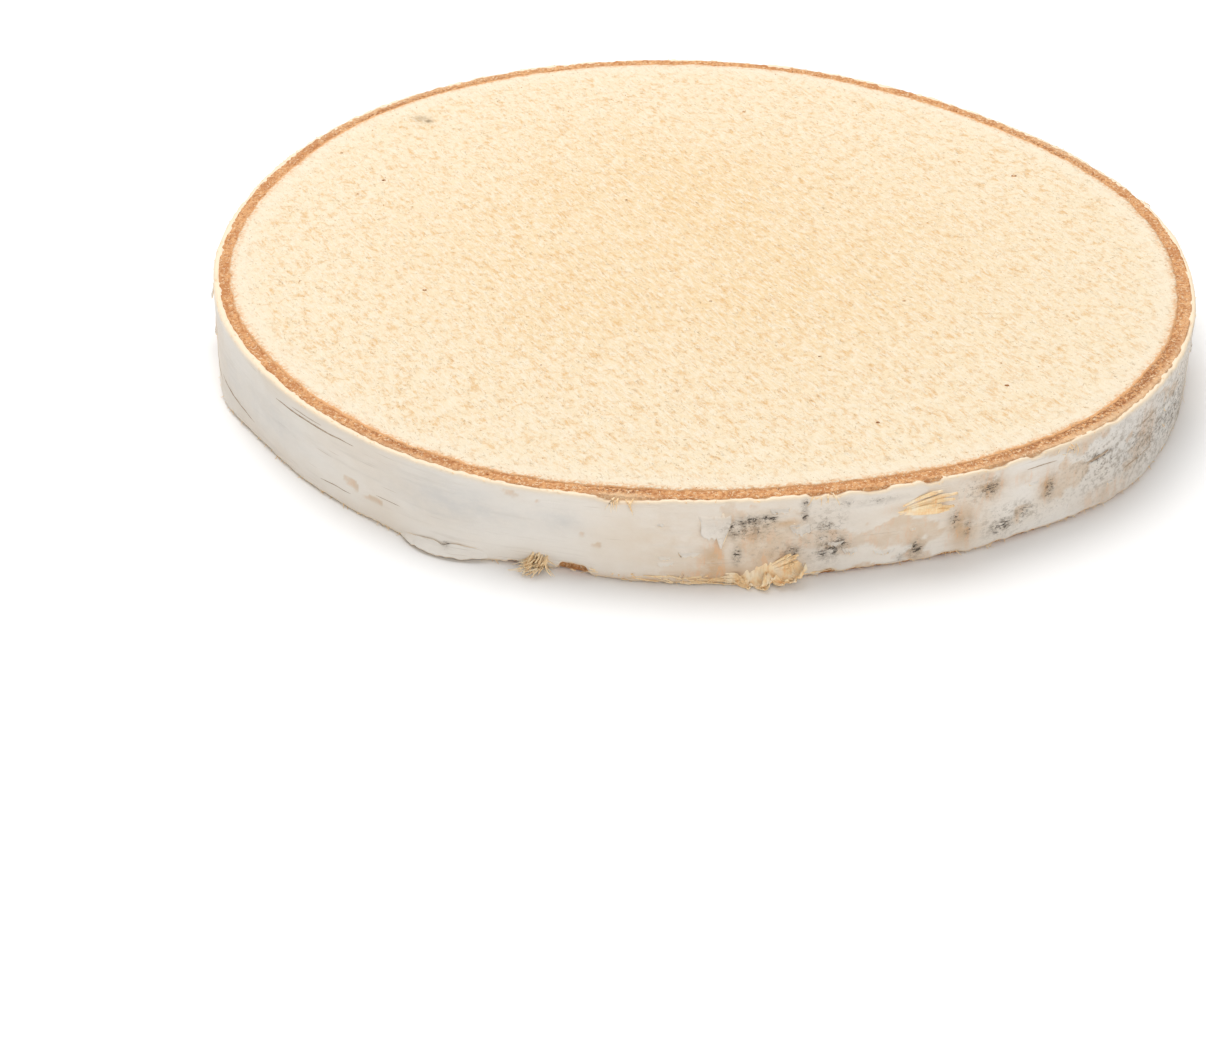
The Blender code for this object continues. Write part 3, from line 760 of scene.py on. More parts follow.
def sheet(bm, place, across, along):
    """A sheet whose point at (u, v), each from 0 to 1, is place(u, v): degrees, offset and height."""
    made = bmesh.ops.create_grid(bm, x_segments=across, y_segments=along, size=0.5)["verts"]
    for vert in made:
        vert.co = on_bark(*place(vert.co.x + 0.5, vert.co.y + 0.5))
    bmesh.ops.reverse_faces(bm, faces=list({face for vert in made for face in vert.link_faces}))


def thicken(piece, thickness, inner_finish=0):
    """Gives thin torn sheets their thickness, with the second finish on the inside and the rim."""
    wall = piece.modifiers.new("thickness", "SOLIDIFY")
    wall.thickness = thickness * MM
    wall.offset = 0.0
    wall.material_offset = inner_finish
    wall.material_offset_rim = inner_finish


def places_of(piece):
    """Arrays of the degrees, height and radius of a piece's points."""
    places = np.empty(len(piece.data.vertices) * 3, np.float32)
    piece.data.vertices.foreach_get("co", places)
    places = places.reshape(-1, 3) / MM - np.array(CENTRE)
    degrees = np.degrees(np.arctan2(places[:, 1], places[:, 0])) % 360
    return degrees, places[:, 2], np.hypot(places[:, 0], places[:, 1])


def inset_from(edge, degrees, radius):
    """How far inside an edge each point lies. The edge is a function from degrees to a radius."""
    return np.interp(degrees, range(361), [edge(turn) for turn in range(361)]) - radius


def step_array(values, low, high):
    """The smooth step from 0 at low to 1 at high, over an array."""
    share = np.clip((values - low) / (high - low), 0, 1)
    return share * share * (3 - 2 * share)


def marks_at(degrees, height, marks):
    """How strongly each point lies in any of the soft marks, from 0 to 1."""
    left = np.ones(len(degrees))
    for turn, level, wide, tall, strength in marks:
        away = apart(degrees, turn) / wide
        left *= 1 - strength * np.exp(-(away**2) - ((height - level) / tall) ** 2)
    return 1 - left


def write_attribute(piece, name, values):
    """Gives each point of a piece a number that the finishes read."""
    made = piece.data.attributes.new(name, "FLOAT", "POINT")
    made.data.foreach_set("value", np.asarray(values, np.float32))


def hidden_place(draw, number, count):
    """A place outside the front, drawn from its own share of that stretch."""
    first, last = HIDDEN_STRETCH
    return first + (last - first) * (number + draw.random()) / count


def hidden_marks(draw, count, wide, tall, strength):
    """Marks for the bark outside the front."""
    marks = []
    for number in range(count):
        place = hidden_place(draw, number, count) % 360
        mark = drawn(draw, "mark")
        marks.append((place, mark.level, mark.wide * wide, mark.tall * tall, mark.strength * strength))
    return tuple(marks)


def write_marks(piece, share=1.0):
    """Writes how stained, tan, warm, grey, speckled and freshly cut the bark is at each point of a piece.
    The stains include one painted shadow.
    """
    draw = random.Random(SEED)
    degrees, height, radius = places_of(piece)
    gone = np.array([peeled(turn, level) for turn, level in zip(degrees, height)])
    surface = np.array([bark_surface(turn, level) for turn, level in zip(degrees, height)])
    found = {}
    for name, marks in MARKS.items():
        found[name] = marks_at(degrees, height, marks + hidden_marks(draw, *HIDDEN_MARKS[name]))
    found["stain"] = share * found["stain"]
    found["tan"] = share * np.maximum(found["tan"], PEELED_TAN * gone)
    found["warm"] = share * np.maximum(found["warm"], PEELED_WARM * gone)
    rim = step_array(height, *(THICKNESS - drop for drop in PALE_RIM_BAND))
    rim *= PALE_RIM_LEAST + PALE_RIM_MORE * marks_at(degrees, height, PALE_RIM)
    found["cut"] = np.maximum(step_array(surface - radius, *CUT_STEP), rim)
    for name, values in found.items():
        write_attribute(piece, name, values)


class Finish:
    """A material in the making: its nodes, and the patterns that its layers follow."""

    def __init__(self, name, colours):
        self.recipe, self.colours = FINISHES[name], colours
        self.material = bpy.data.materials.new(name)
        self.material.use_nodes = True
        self.tree = self.material.node_tree
        self.shader = self.tree.nodes["Principled BSDF"]
        self.shader.inputs["Specular IOR Level"].default_value = self.recipe["specular"]
        self.here = self.node("ShaderNodeTexCoord").outputs["Object"]
        self.patterns = {pattern: self.noise(*row) for pattern, row in self.recipe["noises"].items()}

    def node(self, kind, inputs=None, **settings):
        """A shader node with its settings, and its inputs by name: values, colours or outputs to link."""
        made = self.tree.nodes.new(kind)
        for name, value in settings.items():
            setattr(made, name, value)
        for name, value in (inputs or {}).items():
            if isinstance(value, bpy.types.NodeSocket):
                self.tree.links.new(value, made.inputs[name])
            else:
                made.inputs[name].default_value = value
        return made

    def noise(self, along_x, along_y, along_z, detail, roughness, shift, turn):
        """Noise whose features have these sizes along X, Y and Z, turned about Z."""
        size = (along_x * MM, along_y * MM, along_z * MM)
        inputs = {"Vector": self.here, "Location": (shift,) * 3, "Rotation": (0, 0, turn), "Scale": size}
        place = self.node("ShaderNodeMapping", inputs, vector_type="TEXTURE").outputs[0]
        inputs = {"Vector": place, "Scale": 1.0, "Detail": detail, "Roughness": roughness}
        return self.node("ShaderNodeTexNoise", inputs).outputs["Fac"]

    def math(self, operation, first, second):
        """A sum, a product or the like of two values."""
        return self.node("ShaderNodeMath", {0: first, 1: second}, operation=operation).outputs[0]

    def pattern(self, name):
        """One of the finish's patterns or, by any other name, an attribute of the piece."""
        if name not in self.patterns:
            self.patterns[name] = self.node("ShaderNodeAttribute", attribute_name=name).outputs["Fac"]
        return self.patterns[name]

    def step(self, value, low, high, to_low, to_high):
        """A smooth step of a value, from to_low at low to to_high at high."""
        inputs = {"Value": value, "From Min": low, "From Max": high, "To Min": to_low, "To Max": to_high}
        return self.node("ShaderNodeMapRange", inputs, interpolation_type="SMOOTHSTEP").outputs["Result"]

    def share(self, mark, most, pattern=None, low=0.0, high=1.0, least=0.0):
        """How much of a layer shows at each place."""
        if not pattern:
            return self.pattern(mark) if most == 1.0 else self.math("MULTIPLY", self.pattern(mark), most)
        shown = self.step(self.pattern(pattern), low, high, least, most)
        return self.math("MULTIPLY", self.pattern(mark), shown) if mark else shown

    def colour(self, name):
        """A colour that the user may change, as a socket takes it."""
        return (*getattr(self.colours, name), 1.0)

    def over(self, share, below, colour):
        """A colour laid over what is below it."""
        inputs = {0: share, 6: below, 7: self.colour(colour)}
        return self.node("ShaderNodeMix", inputs, data_type="RGBA").outputs[2]

    def layered(self):
        """The finish's layers, one over another."""
        result = self.colour(self.recipe["base"])
        for colour, *share in self.recipe["layers"]:
            result = self.over(self.share(*share), result, colour)
        return result

    def finished(self, colour):
        """The material, with its colour, roughness and relief linked."""
        relief = None
        for name, strength in self.recipe["relief"]:
            part = self.share(name, strength)
            relief = self.math("ADD", relief, part) if relief else part
        strength, depth = self.recipe["bump"]
        inputs = {"Height": relief, "Strength": strength, "Distance": depth * MM}
        raised = self.node("ShaderNodeBump", inputs)
        self.tree.links.new(colour, self.shader.inputs["Base Color"])
        self.tree.links.new(self.share(*self.recipe["roughness"]), self.shader.inputs["Roughness"])
        self.tree.links.new(raised.outputs[0], self.shader.inputs["Normal"])
        return self.material


def wood_material(wood):
    """Fuzzy sawn end grain: cream, with slanted streaks, a few darker specks and small ragged knots."""
    colour = wood.layered()
    for place, size, strength in KNOTS:
        for larger, fainter, knot_colour in KNOT_PARTS:
            reach = larger * size * MM
            to_knot = {0: wood.here, 1: tuple(spot(*place))}
            away = wood.node("ShaderNodeVectorMath", to_knot, operation="DISTANCE").outputs["Value"]
            ragged = wood.math("MULTIPLY", wood.pattern("knot_edge"), KNOT_RAGGED * reach)
            near = wood.math("ADD", away, ragged)
            share = wood.step(near, KNOT_OUTER * reach, KNOT_INNER * reach, 0.0, fainter * strength)
            colour = wood.over(share, colour, knot_colour)
    return wood.finished(colour)


def bark_material(bark):
    """Papery outer bark: warm white with grey and tan patches, thin lines and dark crumbly stains, one of
    them a painted shadow.
    """
    for name, row in STAIN_PATTERNS.items():
        bark.patterns[name] = bark.share(*row)
    bark.patterns["spotted"] = bark.math("MAXIMUM", bark.pattern("speckle"), bark.pattern("stain"))
    return bark.finished(bark.layered())


def material_of(name, colours):
    """The material of this name, built if no piece has needed it yet."""
    if name in bpy.data.materials:
        return bpy.data.materials[name]
    finish = Finish(name, colours)
    if name == "sawn_birch":
        return wood_material(finish)
    if name == "outer_bark":
        return bark_material(finish)
    return finish.finished(finish.layered())


def sized(name, description, default):
    """A length in millimetres that a user may change."""
    return bpy.props.FloatProperty(
        name=name, description=description, default=default, min=0.0, soft_max=LARGEST_SIZE
    )


def counted(name, description, default):
    """A number of small parts that a user may change."""
    return bpy.props.IntProperty(name=name, description=description, default=default, min=0)


def coloured(name, description, default):
    """A colour that a user may change."""
    return bpy.props.FloatVectorProperty(
        name=name, description=description, default=default, size=3, min=0.0, max=1.0, subtype="COLOR"
    )


class BirchSliceSizes(bpy.types.PropertyGroup):
    """Sizes and counts of the slice's finish."""

    outer_width: sized("Outer bark", "Width of the pale cut edge of the outer bark, in mm", 0.75)
    inner_width: sized("Inner bark", "Width of the brown ring of inner bark, in mm", 1.2)
    ring_depth: sized("Ring depth", "How far the brown ring lies below the sawn face, in mm", 0.2)
    fuzz_length: sized("Fuzz length", "Length of the fibres that the saw raised, in mm", 0.9)
    upper_fuzz: counted("Upper fuzz", "Fibres on the upper sawn face", 15000)
    lower_fuzz: counted("Lower fuzz", "Fibres on the lower sawn face", 5000)
    edge_fibres: counted("Edge fibres", "Fibres along the two edges of the bark", 1100)
    crumbs: counted("Crumbs", "Crumbs of bark and sawdust on the slice", 700)
    hidden_lines: counted("Lines", "Long lines in the bark outside the front", 34)


class BirchSliceColours(bpy.types.PropertyGroup):
    """Colours of the slice's finish."""

    wood: coloured("Wood", "Sawn wood", (0.88, 0.735, 0.515))
    wood_deep: coloured("Deep wood", "Sawn wood towards the heart", (0.84, 0.62, 0.345))
    wood_pale: coloured("Pale wood", "Pale streaks of raised fibre", (0.905, 0.80, 0.63))
    wood_shade: coloured("Shaded wood", "Hollows between the tufts", (0.76, 0.475, 0.21))
    wood_speck: coloured("Specks", "Small darker specks in the wood", (0.48, 0.30, 0.14))
    knot: coloured("Knot", "Small grey knots", (0.33, 0.26, 0.17))
    inner: coloured("Inner bark", "Inner bark", (0.80, 0.43, 0.195))
    inner_dark: coloured("Dark inner bark", "Hollows of the inner bark", (0.54, 0.22, 0.08))
    inner_deep: coloured("Deep inner bark", "The darkest stretches of the ring", (0.28, 0.11, 0.045))
    inner_pale: coloured("Pale inner bark", "Pale flecks of the inner bark", (0.90, 0.70, 0.46))
    paper: coloured("Paper", "White papery bark", (0.84, 0.79, 0.72))
    paper_warm: coloured("Warm paper", "Papery bark where it is warmer", (0.79, 0.71, 0.61))
    paper_shade: coloured("Shaded paper", "Bands in the paper", (0.70, 0.64, 0.56))
    paper_beige: coloured("Beige paper", "Paper at its warmest", (0.70, 0.56, 0.41))
    paper_grey: coloured("Grey paper", "Grey patches", (0.60, 0.59, 0.57))
    paper_line: coloured("Fine lines", "Fine lines in the paper", (0.50, 0.40, 0.30))
    tan: coloured("Tan", "Tan layers where the paper is gone", (0.62, 0.43, 0.265))
    # The stain colour also paints the shadow behind the gap of the flap at 241.2 degrees.
    stain: coloured("Stain", "Dark grey-brown stains", (0.27, 0.21, 0.15))
    stain_deep: coloured("Deep stain", "The darkest specks of the stains", (0.055, 0.042, 0.03))
    bark_cut: coloured("Cut bark", "Cut edge of the outer bark", (0.92, 0.76, 0.56))
    fibre: coloured("Fibre", "Torn fibre", (0.99, 0.79, 0.50))
    fibre_pale: coloured("Pale fibre", "Palest torn fibre", (0.98, 0.88, 0.70))
    fibre_dark: coloured("Dark fibre", "Darkest torn fibre", (0.93, 0.61, 0.31))
    line: coloured("Long lines", "Long lines in the bark", (0.36, 0.24, 0.15))
    floor: coloured("Floor", "Plain floor", (0.99, 0.985, 0.98))
    floor_shade: coloured("Floor shade", "Faint clouds in the floor", (0.97515, 0.970225, 0.9653))


def settings(context):
    """The sizes and colours that the user has set."""
    return context.scene.birch_sizes, context.scene.birch_colours


class BIRCH_OT_sawn_wood(bpy.types.Operator):
    """Models the wood of the slice with its two sawn faces"""

    bl_idname = "birch.sawn_wood"
    bl_label = "Sawn Wood"

    def execute(self, context):
        sizes, colours = settings(context)
        bm = bmesh.new()
        bmesh.ops.create_grid(bm, x_segments=WOOD_CELLS, y_segments=WOOD_CELLS, size=1.0)
        lower = bmesh.ops.extrude_face_region(bm, geom=list(bm.faces))["geom"]
        lower = {item for item in lower if isinstance(item, bmesh.types.BMVert)}
        for vert in bm.verts:
            below = vert in lower
            x, y = vert.co.xy
            disc = Vector((x * math.sqrt(1 - y * y / 2), y * math.sqrt(1 - x * x / 2)))
            degrees = math.degrees(math.atan2(disc.y, disc.x)) % 360
            radius = disc.length * wood_edge(degrees, sizes, not below)
            place = disc.normalized() * radius if radius else disc
            drop = WOOD_LEVEL - wood_relief(place.x + FACES_APART * below, place.y)
            drop += WOOD_RIM_DROP * between(disc.length, WOOD_RIM, 1.0)
            vert.co = spot(place.x, place.y, drop if below else THICKNESS - drop)
        bmesh.ops.recalc_face_normals(bm, faces=list(bm.faces))
        piece = new_piece("sawn_wood", bm, colours, ["sawn_birch"])
        degrees, _, radius = places_of(piece)
        inset = inset_from(lambda turn: wood_edge(turn, sizes, True), degrees, radius)
        write_attribute(piece, "heart", step_array(inset, *HEART))
        write_attribute(piece, "border", 1 - step_array(inset, *BORDER))
        write_attribute(piece, "near_ring", 1 - step_array(inset, *NEAR_RING))
        return {"FINISHED"}


class BIRCH_OT_inner_bark(bpy.types.Operator):
    """Models the brown ring of inner bark"""

    bl_idname = "birch.inner_bark"
    bl_label = "Inner Bark"

    def execute(self, context):
        sizes, colours = settings(context)
        shares = [row / RING_ROWS for row in range(RING_ROWS + 1)]
        sections = [self.ring(share, False, sizes) for share in shares]
        sections += [self.ring(share, True, sizes) for share in reversed(shares)]
        piece = new_piece("inner_bark", lofted(sections), colours, ["inner_bark"])
        degrees, height, radius = places_of(piece)
        inset = inset_from(outline_radius, degrees, radius)
        marks = marks_at(degrees, height, DARK_RING)
        write_attribute(piece, "dark", marks * step_array(inset, *DARK_SIDE))
        write_attribute(piece, "pale", marks * (1 - step_array(inset, *PALE_SIDE)) * PALE_SHARE)
        return {"FINISHED"}

    def ring(self, share, upper, sizes):
        """One ring of the inner bark's face: share runs from 0 at the wood to 1 at the outer bark."""
        grains = "upper_grains" if upper else "lower_grains"

        def place(degrees):
            inner = wood_edge(degrees, sizes, upper) - RING_OVERLAP
            outer = rim_radius(degrees, upper) - cut_width(degrees, sizes) + RING_OVERLAP
            radius = inner + (outer - inner) * share
            level = radius / outline_radius(degrees) * GRAIN_RADIUS
            dip = sizes.ring_depth + RING_LIP * (1 - between(share, 0.0, RING_LIP_SHARE))
            dip += rough(grains, degrees, level) + rough("fine_grains", degrees, level)
            dip = max(dip, LEAST_RING_DROP)
            return point(degrees, radius, THICKNESS - dip if upper else dip)

        return place


class BIRCH_OT_outer_bark(bpy.types.Operator):
    """Models the papery outer bark with its torn edges"""

    bl_idname = "birch.outer_bark"
    bl_label = "Outer Bark"

    def execute(self, context):
        sizes, colours = settings(context)
        sections = [self.ring(sizes, share, 0.0, back) for share, back in CUT_RINGS]
        sections += [self.ring(sizes, 0.0, row / BARK_ROWS) for row in range(1, BARK_ROWS)]
        sections += [self.ring(sizes, share, 1.0, -back) for share, back in reversed(CUT_RINGS)]
        piece = new_piece("outer_bark", lofted(sections), colours, ["outer_bark"])
        write_marks(piece)
        return {"FINISHED"}

    def ring(self, sizes, share, level, shift=0.0):
        """One ring. Its share is 0 at the bark's surface, its level 0 at the lower edge, 1 at the upper."""

        def place(degrees):
            lower, upper = edge_height(degrees, False), edge_height(degrees, True)
            height = lower + level * (upper - lower) + shift
            return point(degrees, bark_surface(degrees, height) - share * cut_width(degrees, sizes), height)

        return place


class BIRCH_OT_bark_lines(bpy.types.Operator):
    """Models the long thin lines in the bark"""

    bl_idname = "birch.bark_lines"
    bl_label = "Bark Lines"

    def execute(self, context):
        sizes, colours = settings(context)
        draw = random.Random(SEED + 1)
        lines = list(LINES)
        for number in range(sizes.hidden_lines):
            start = hidden_place(draw, number, sizes.hidden_lines)
            line = drawn(draw, "line")
            end = start + degrees_of(line.length)
            lines.append((start, line.level, end, line.level + line.rise, line.width))

        def make(bm, number):
            start, low, end, high, width = lines[number]
            made = bmesh.ops.create_uvsphere(bm, u_segments=LINE_SIDES, v_segments=LINE_ROWS, radius=1.0)
            for vert in made["verts"]:
                deep, thick, along = vert.co
                share = (along + 1) / 2
                degrees = start + (end - start) * share
                wander = rough("line_wander", degrees, number * LINES_APART)
                height = low + (high - low) * share + wander + 0.5 * width * thick
                vert.co = on_bark(degrees, LINE_DEPTH * deep - LINE_SINK, height)

        bm = in_batches(len(lines), make)
        bmesh.ops.recalc_face_normals(bm, faces=list(bm.faces))
        new_piece("bark_lines", bm, colours, ["bark_line"])
        return {"FINISHED"}


class BIRCH_OT_peeled_bark(bpy.types.Operator):
    """Models the scales, flaps and small peels that lift from the bark"""

    bl_idname = "birch.peeled_bark"
    bl_label = "Peeled Bark"

    def execute(self, context):
        _, colours = settings(context)
        draw = random.Random(SEED + 2)
        bm = bmesh.new()
        for scale in SCALES:
            self.scale(bm, draw, *scale)
        for flap in FLAPS:
            self.flap(bm, draw, *flap)
        for _ in range(SMALL_PEELS):
            peel = drawn(draw, "peel")
            self.scale(bm, draw, peel.centre, peel.width, peel.top, peel.top - peel.tall, peel.lift)
        piece = new_piece("peeled_bark", bm, colours, ["outer_bark", "torn_fibre"])
        write_marks(piece, PEEL_MARKS)
        thicken(piece, PEEL_THICKNESS, 1)
        return {"FINISHED"}

    def scale(self, bm, draw, centre, width, top, bottom, lift):
        """A scale rooted at its upper end, with a ragged lower end that curls out."""
        scale = drawn(draw, "scale")
        seed, width = scale.seed, degrees_of(width)

        def place(u, v):
            torn = ripple("scale_end", seed, u) + ripple("scale_teeth", seed, u)
            side = ripple("scale_side", seed, round(u), v)
            half = 0.5 * width * (math.sqrt(1 - (SCALE_TAPER * v) ** 3) + side * v)
            out = lifted(lift, v**SCALE_CURL, PEEL_ROOT) + v * ripple("scale_curl", seed, u, v)
            height = top + v * (bottom - top) * (1 + SCALE_TORN * torn)
            return centre + (2 * u - 1) * half + scale.lean * v * width, out, height

        sheet(bm, place, *SCALE_GRID)

    def flap(self, bm, draw, centre, width, top, lift):
        """A strip of the paper's lower edge that hangs on by its two ends and gapes in between."""
        seed = draw.uniform(0, 99)

        def place(u, v):
            swell = math.sin(math.pi * min(max(FLAP_SPAN * u + FLAP_START, 0.0), 1.0)) ** FLAP_SWELL
            wave = ripple("flap", seed, u)
            # Behind the gap of the flap at 241.2 degrees, a painted shadow among the stain marks darkens the
            # bark.
            gap = sum(bumps(360 * u, FLAP_GAPS)) * (1 - v)
            bottom = LOWEST_TIP + FLAP_CLEAR + FLAP_LOWEST * abs(wave) + abs(ripple("flap_teeth", seed, u))
            tall = top * (FLAP_NARROW + (1 - FLAP_NARROW) * u) - bottom
            upper_edge = bottom + tall * (FLAP_THIN + (1 - FLAP_THIN) * swell) - gap
            out = lifted(FLAP_OUT + FLAP_WAVE * wave + lift * v**FLAP_CURL, swell, PEEL_ROOT)
            return centre + (u - 0.5) * degrees_of(width), out, upper_edge + (bottom - upper_edge) * v

        sheet(bm, place, *FLAP_GRID)


class BIRCH_OT_torn_curls(bpy.types.Operator):
    """Models the curls and strips of torn inner bark"""

    bl_idname = "birch.torn_curls"
    bl_label = "Torn Curls"

    def execute(self, context):
        _, colours = settings(context)
        draw = random.Random(SEED + 3)
        bm = bmesh.new()
        for curl in CURLS:
            self.curl(bm, draw, *curl)
        for strip in STRIPS:
            self.strip(bm, draw, *strip)
        piece = new_piece("torn_curls", bm, colours, ["torn_fibre"])
        thicken(piece, CURL_THICKNESS)
        return {"FINISHED"}

    def curl(self, bm, draw, centre, width, first_root, last_root, radius):
        """Ruffled sheets that run down the side and curl outwards at the lower edge, one over another."""
        for number in range(CURL_SHEETS):
            curl = drawn(draw, "curl")
            seed, size = curl.seed, radius * curl.size
            wide = width * (1.0 if number == 0 else draw.uniform(*CURL_INNER_SHARE))
            lies = drawn(draw, "curl_place")
            middle = centre + degrees_of(lies.shift * (width - wide))
            stand = CURL_STAND + CURL_STAND_MORE * number

            def place(u, v):
                degrees = middle + degrees_of((u - 0.5) * wide)
                along = (degrees - centre) / degrees_of(width) + 0.5
                pleat, crumple = ripple("pleat", seed, u * wide, v), ripple("crumple", seed, u * wide, v)
                torn = ripple("curl_end", seed + TORN_APART, u * wide)
                ends = math.sin(math.pi * (CURL_START + CURL_SPAN * u)) ** CURL_SWELL
                roll = size * (CURL_NARROW + (1 - CURL_NARROW) * ends) * (1 + CURL_PLEAT[0] * pleat)
                low = LOWEST_TIP + CURL_RISE * along * along
                highest = CURL_ROOT_UP + first_root + (last_root - first_root) * along - low
                root = low + roll + highest * ends * (CURL_ROOT_TORN + torn)
                if v < CURL_HANGS:
                    down = v / CURL_HANGS
                    out, height = lifted(stand, down, CURL_ROOT), root + (low + roll - root) * down
                else:
                    curled = (v - CURL_HANGS) / (1 - CURL_HANGS)
                    turn = math.radians(180 + lies.turn * (CURL_TORN[0] + CURL_TORN[1] * torn) * curled)
                    out, height = stand + roll * (1 + math.cos(turn)), low + roll * (1 + math.sin(turn))
                degrees += degrees_of((CURL_DRIFT[0] + CURL_DRIFT[1] * pleat) * v * v)
                out += (CURL_PLEAT[1] * pleat + CURL_CRUMPLE * crumple) * between(v, *CURL_LOOSE)
                return degrees, out, max(height + CURL_DROOP * crumple * v, LOWEST_TIP)

            sheet(bm, place, *CURL_GRID)

    def strip(self, bm, draw, root, tip, height, width, lift, rise):
        """Ribbons peeled sideways from one narrow root, which spread and curl out towards a torn end."""
        for number in range(STRIP_RIBBONS):
            ribbon = drawn(draw, "ribbon")
            wide, out = ribbon.width * width / STRIP_RIBBONS, lift * ribbon.lift

            def place(u, v):
                spread = STRIP_NARROW + (1 - STRIP_NARROW) * between(v, *STRIP_SPREADS)
                level = height + rise * v + width * ((number + 0.5) / STRIP_RIBBONS - 0.5) * spread
                tapered = 1 - STRIP_POINT * between(v, ribbon.torn_from, 1.0)
                wave = ripple("ribbon", ribbon.seed, 0.0, v)
                curled = between(v, *STRIP_CURLS)
                sideways = v - STRIP_SHORTER * curled * curled
                offset = lifted(out, v**STRIP_LIFT, STRIP_ROOT) + STRIP_WAVE_OUT * wave * v
                offset += STRIP_CUP * (2 * u - 1) ** 2 * curled
                up = level + wide * spread * tapered * (u - 0.5) + STRIP_WAVE_UP * wave * v
                return root + (tip - root) * ribbon.reach * sideways, offset, max(up, LOWEST_TIP)

            sheet(bm, place, *STRIP_GRID)


class BIRCH_OT_torn_fibres(bpy.types.Operator):
    """Models the tufts of torn fibre and the fine hairs along the edges of the bark"""

    bl_idname = "birch.torn_fibres"
    bl_label = "Torn Fibres"

    def execute(self, context):
        sizes, colours = settings(context)
        draw = random.Random(SEED + 4)
        jobs = []
        for centre, reach in TUFTS:
            jobs += [self.tuft_fibre(draw, centre, reach) for _ in range(TUFT_FIBRES)]
        for centre, spread, count in TRAILS:
            jobs += [self.trailing_fibre(draw, centre, spread) for _ in range(count)]
        for centre, count in RIM_TUFTS:
            jobs += [self.rim_fibre(draw, centre) for _ in range(count)]
        jobs += [self.edge_fibre(draw) for _ in range(sizes.edge_fibres)]
        new_piece("torn_fibres", strands(jobs), colours, ["torn_fibre"])
        return {"FINISHED"}

    def tuft_fibre(self, draw, centre, reach):
        """One fibre of a tuft, which leaves the lower edge and curls out and to the left."""
        fibre = drawn(draw, "tuft")
        start, out = centre + fibre.start, reach * fibre.out**TUFT_NEAR

        def path(share):
            turn = TUFT_TURNS * share + fibre.phase
            height = fibre.root + (fibre.tip - fibre.root) * share**TUFT_FALL
            height += fibre.curl * math.sin(turn) * share
            away = TUFT_ROOT + (out + TUFT_OUT) * share**TUFT_BEND + fibre.curl * math.cos(turn) * share
            return on_bark(start + fibre.drift * share * share, away, max(height, LOWEST_TIP + TUFT_CLEAR))

        return path, fibre.width

    def trailing_fibre(self, draw, centre, spread):
        """A thin strip of torn fibre that lies along the lower edge."""
        start = draw.gauss(centre, spread)
        fibre = drawn(draw, "trail")
        reach = degrees_of(fibre.reach)

        def path(share):
            height = max(fibre.root + fibre.rise * share * share, LOWEST_TIP + TUFT_CLEAR)
            return on_bark(start + reach * share, lifted(fibre.out, share, TRAIL_ROOT), height)

        return path, fibre.width

    def rim_fibre(self, draw, centre):
        """A short ribbon that hangs from the upper edge over the bark."""
        fibre = drawn(draw, "rim_tuft")
        start = centre + fibre.start

        def path(share):
            away = RIM_ROOT + (fibre.out - RIM_ROOT) * math.sin(RIM_BEND * share)
            return on_bark(start + fibre.drift * share, away, fibre.root - fibre.fall * share**RIM_FALL)

        return path, fibre.width

    def hairs_at(self, degrees):
        """The share of the hairs drawn at a place on the lower edge that it keeps."""
        return HAIRS_KEPT + (1 - HAIRS_KEPT) * max(bumps(degrees, HAIRY_STRETCHES))

    def edge_fibre(self, draw):
        """A short hair on the upper or the lower edge, with more of them where the lower edge is ragged."""
        upper = draw.random() < UPPER_HAIRS
        start = draw.uniform(0, 360)
        while not upper and draw.random() > self.hairs_at(start):
            start = draw.uniform(0, 360)
        length = draw.uniform(*HAIR_LENGTHS[upper])
        base = edge_height(start, upper)
        hair = drawn(draw, "hair")
        out, drift = hair.out * length, degrees_of(hair.drift * length)
        rise = hair.rise * length * (1 if upper else -1)

        def path(share):
            height = base + rise * share + HAIR_ROOTS[upper] * (1 - share)
            height = min(max(height, LOWEST_TIP - HAIR_CLEAR), TOP_LIMIT - HAIR_CLEAR)
            return on_bark(start + drift * share, (out + hair.inset * HAIR_OUT) * share - hair.inset, height)

        return path, hair.width


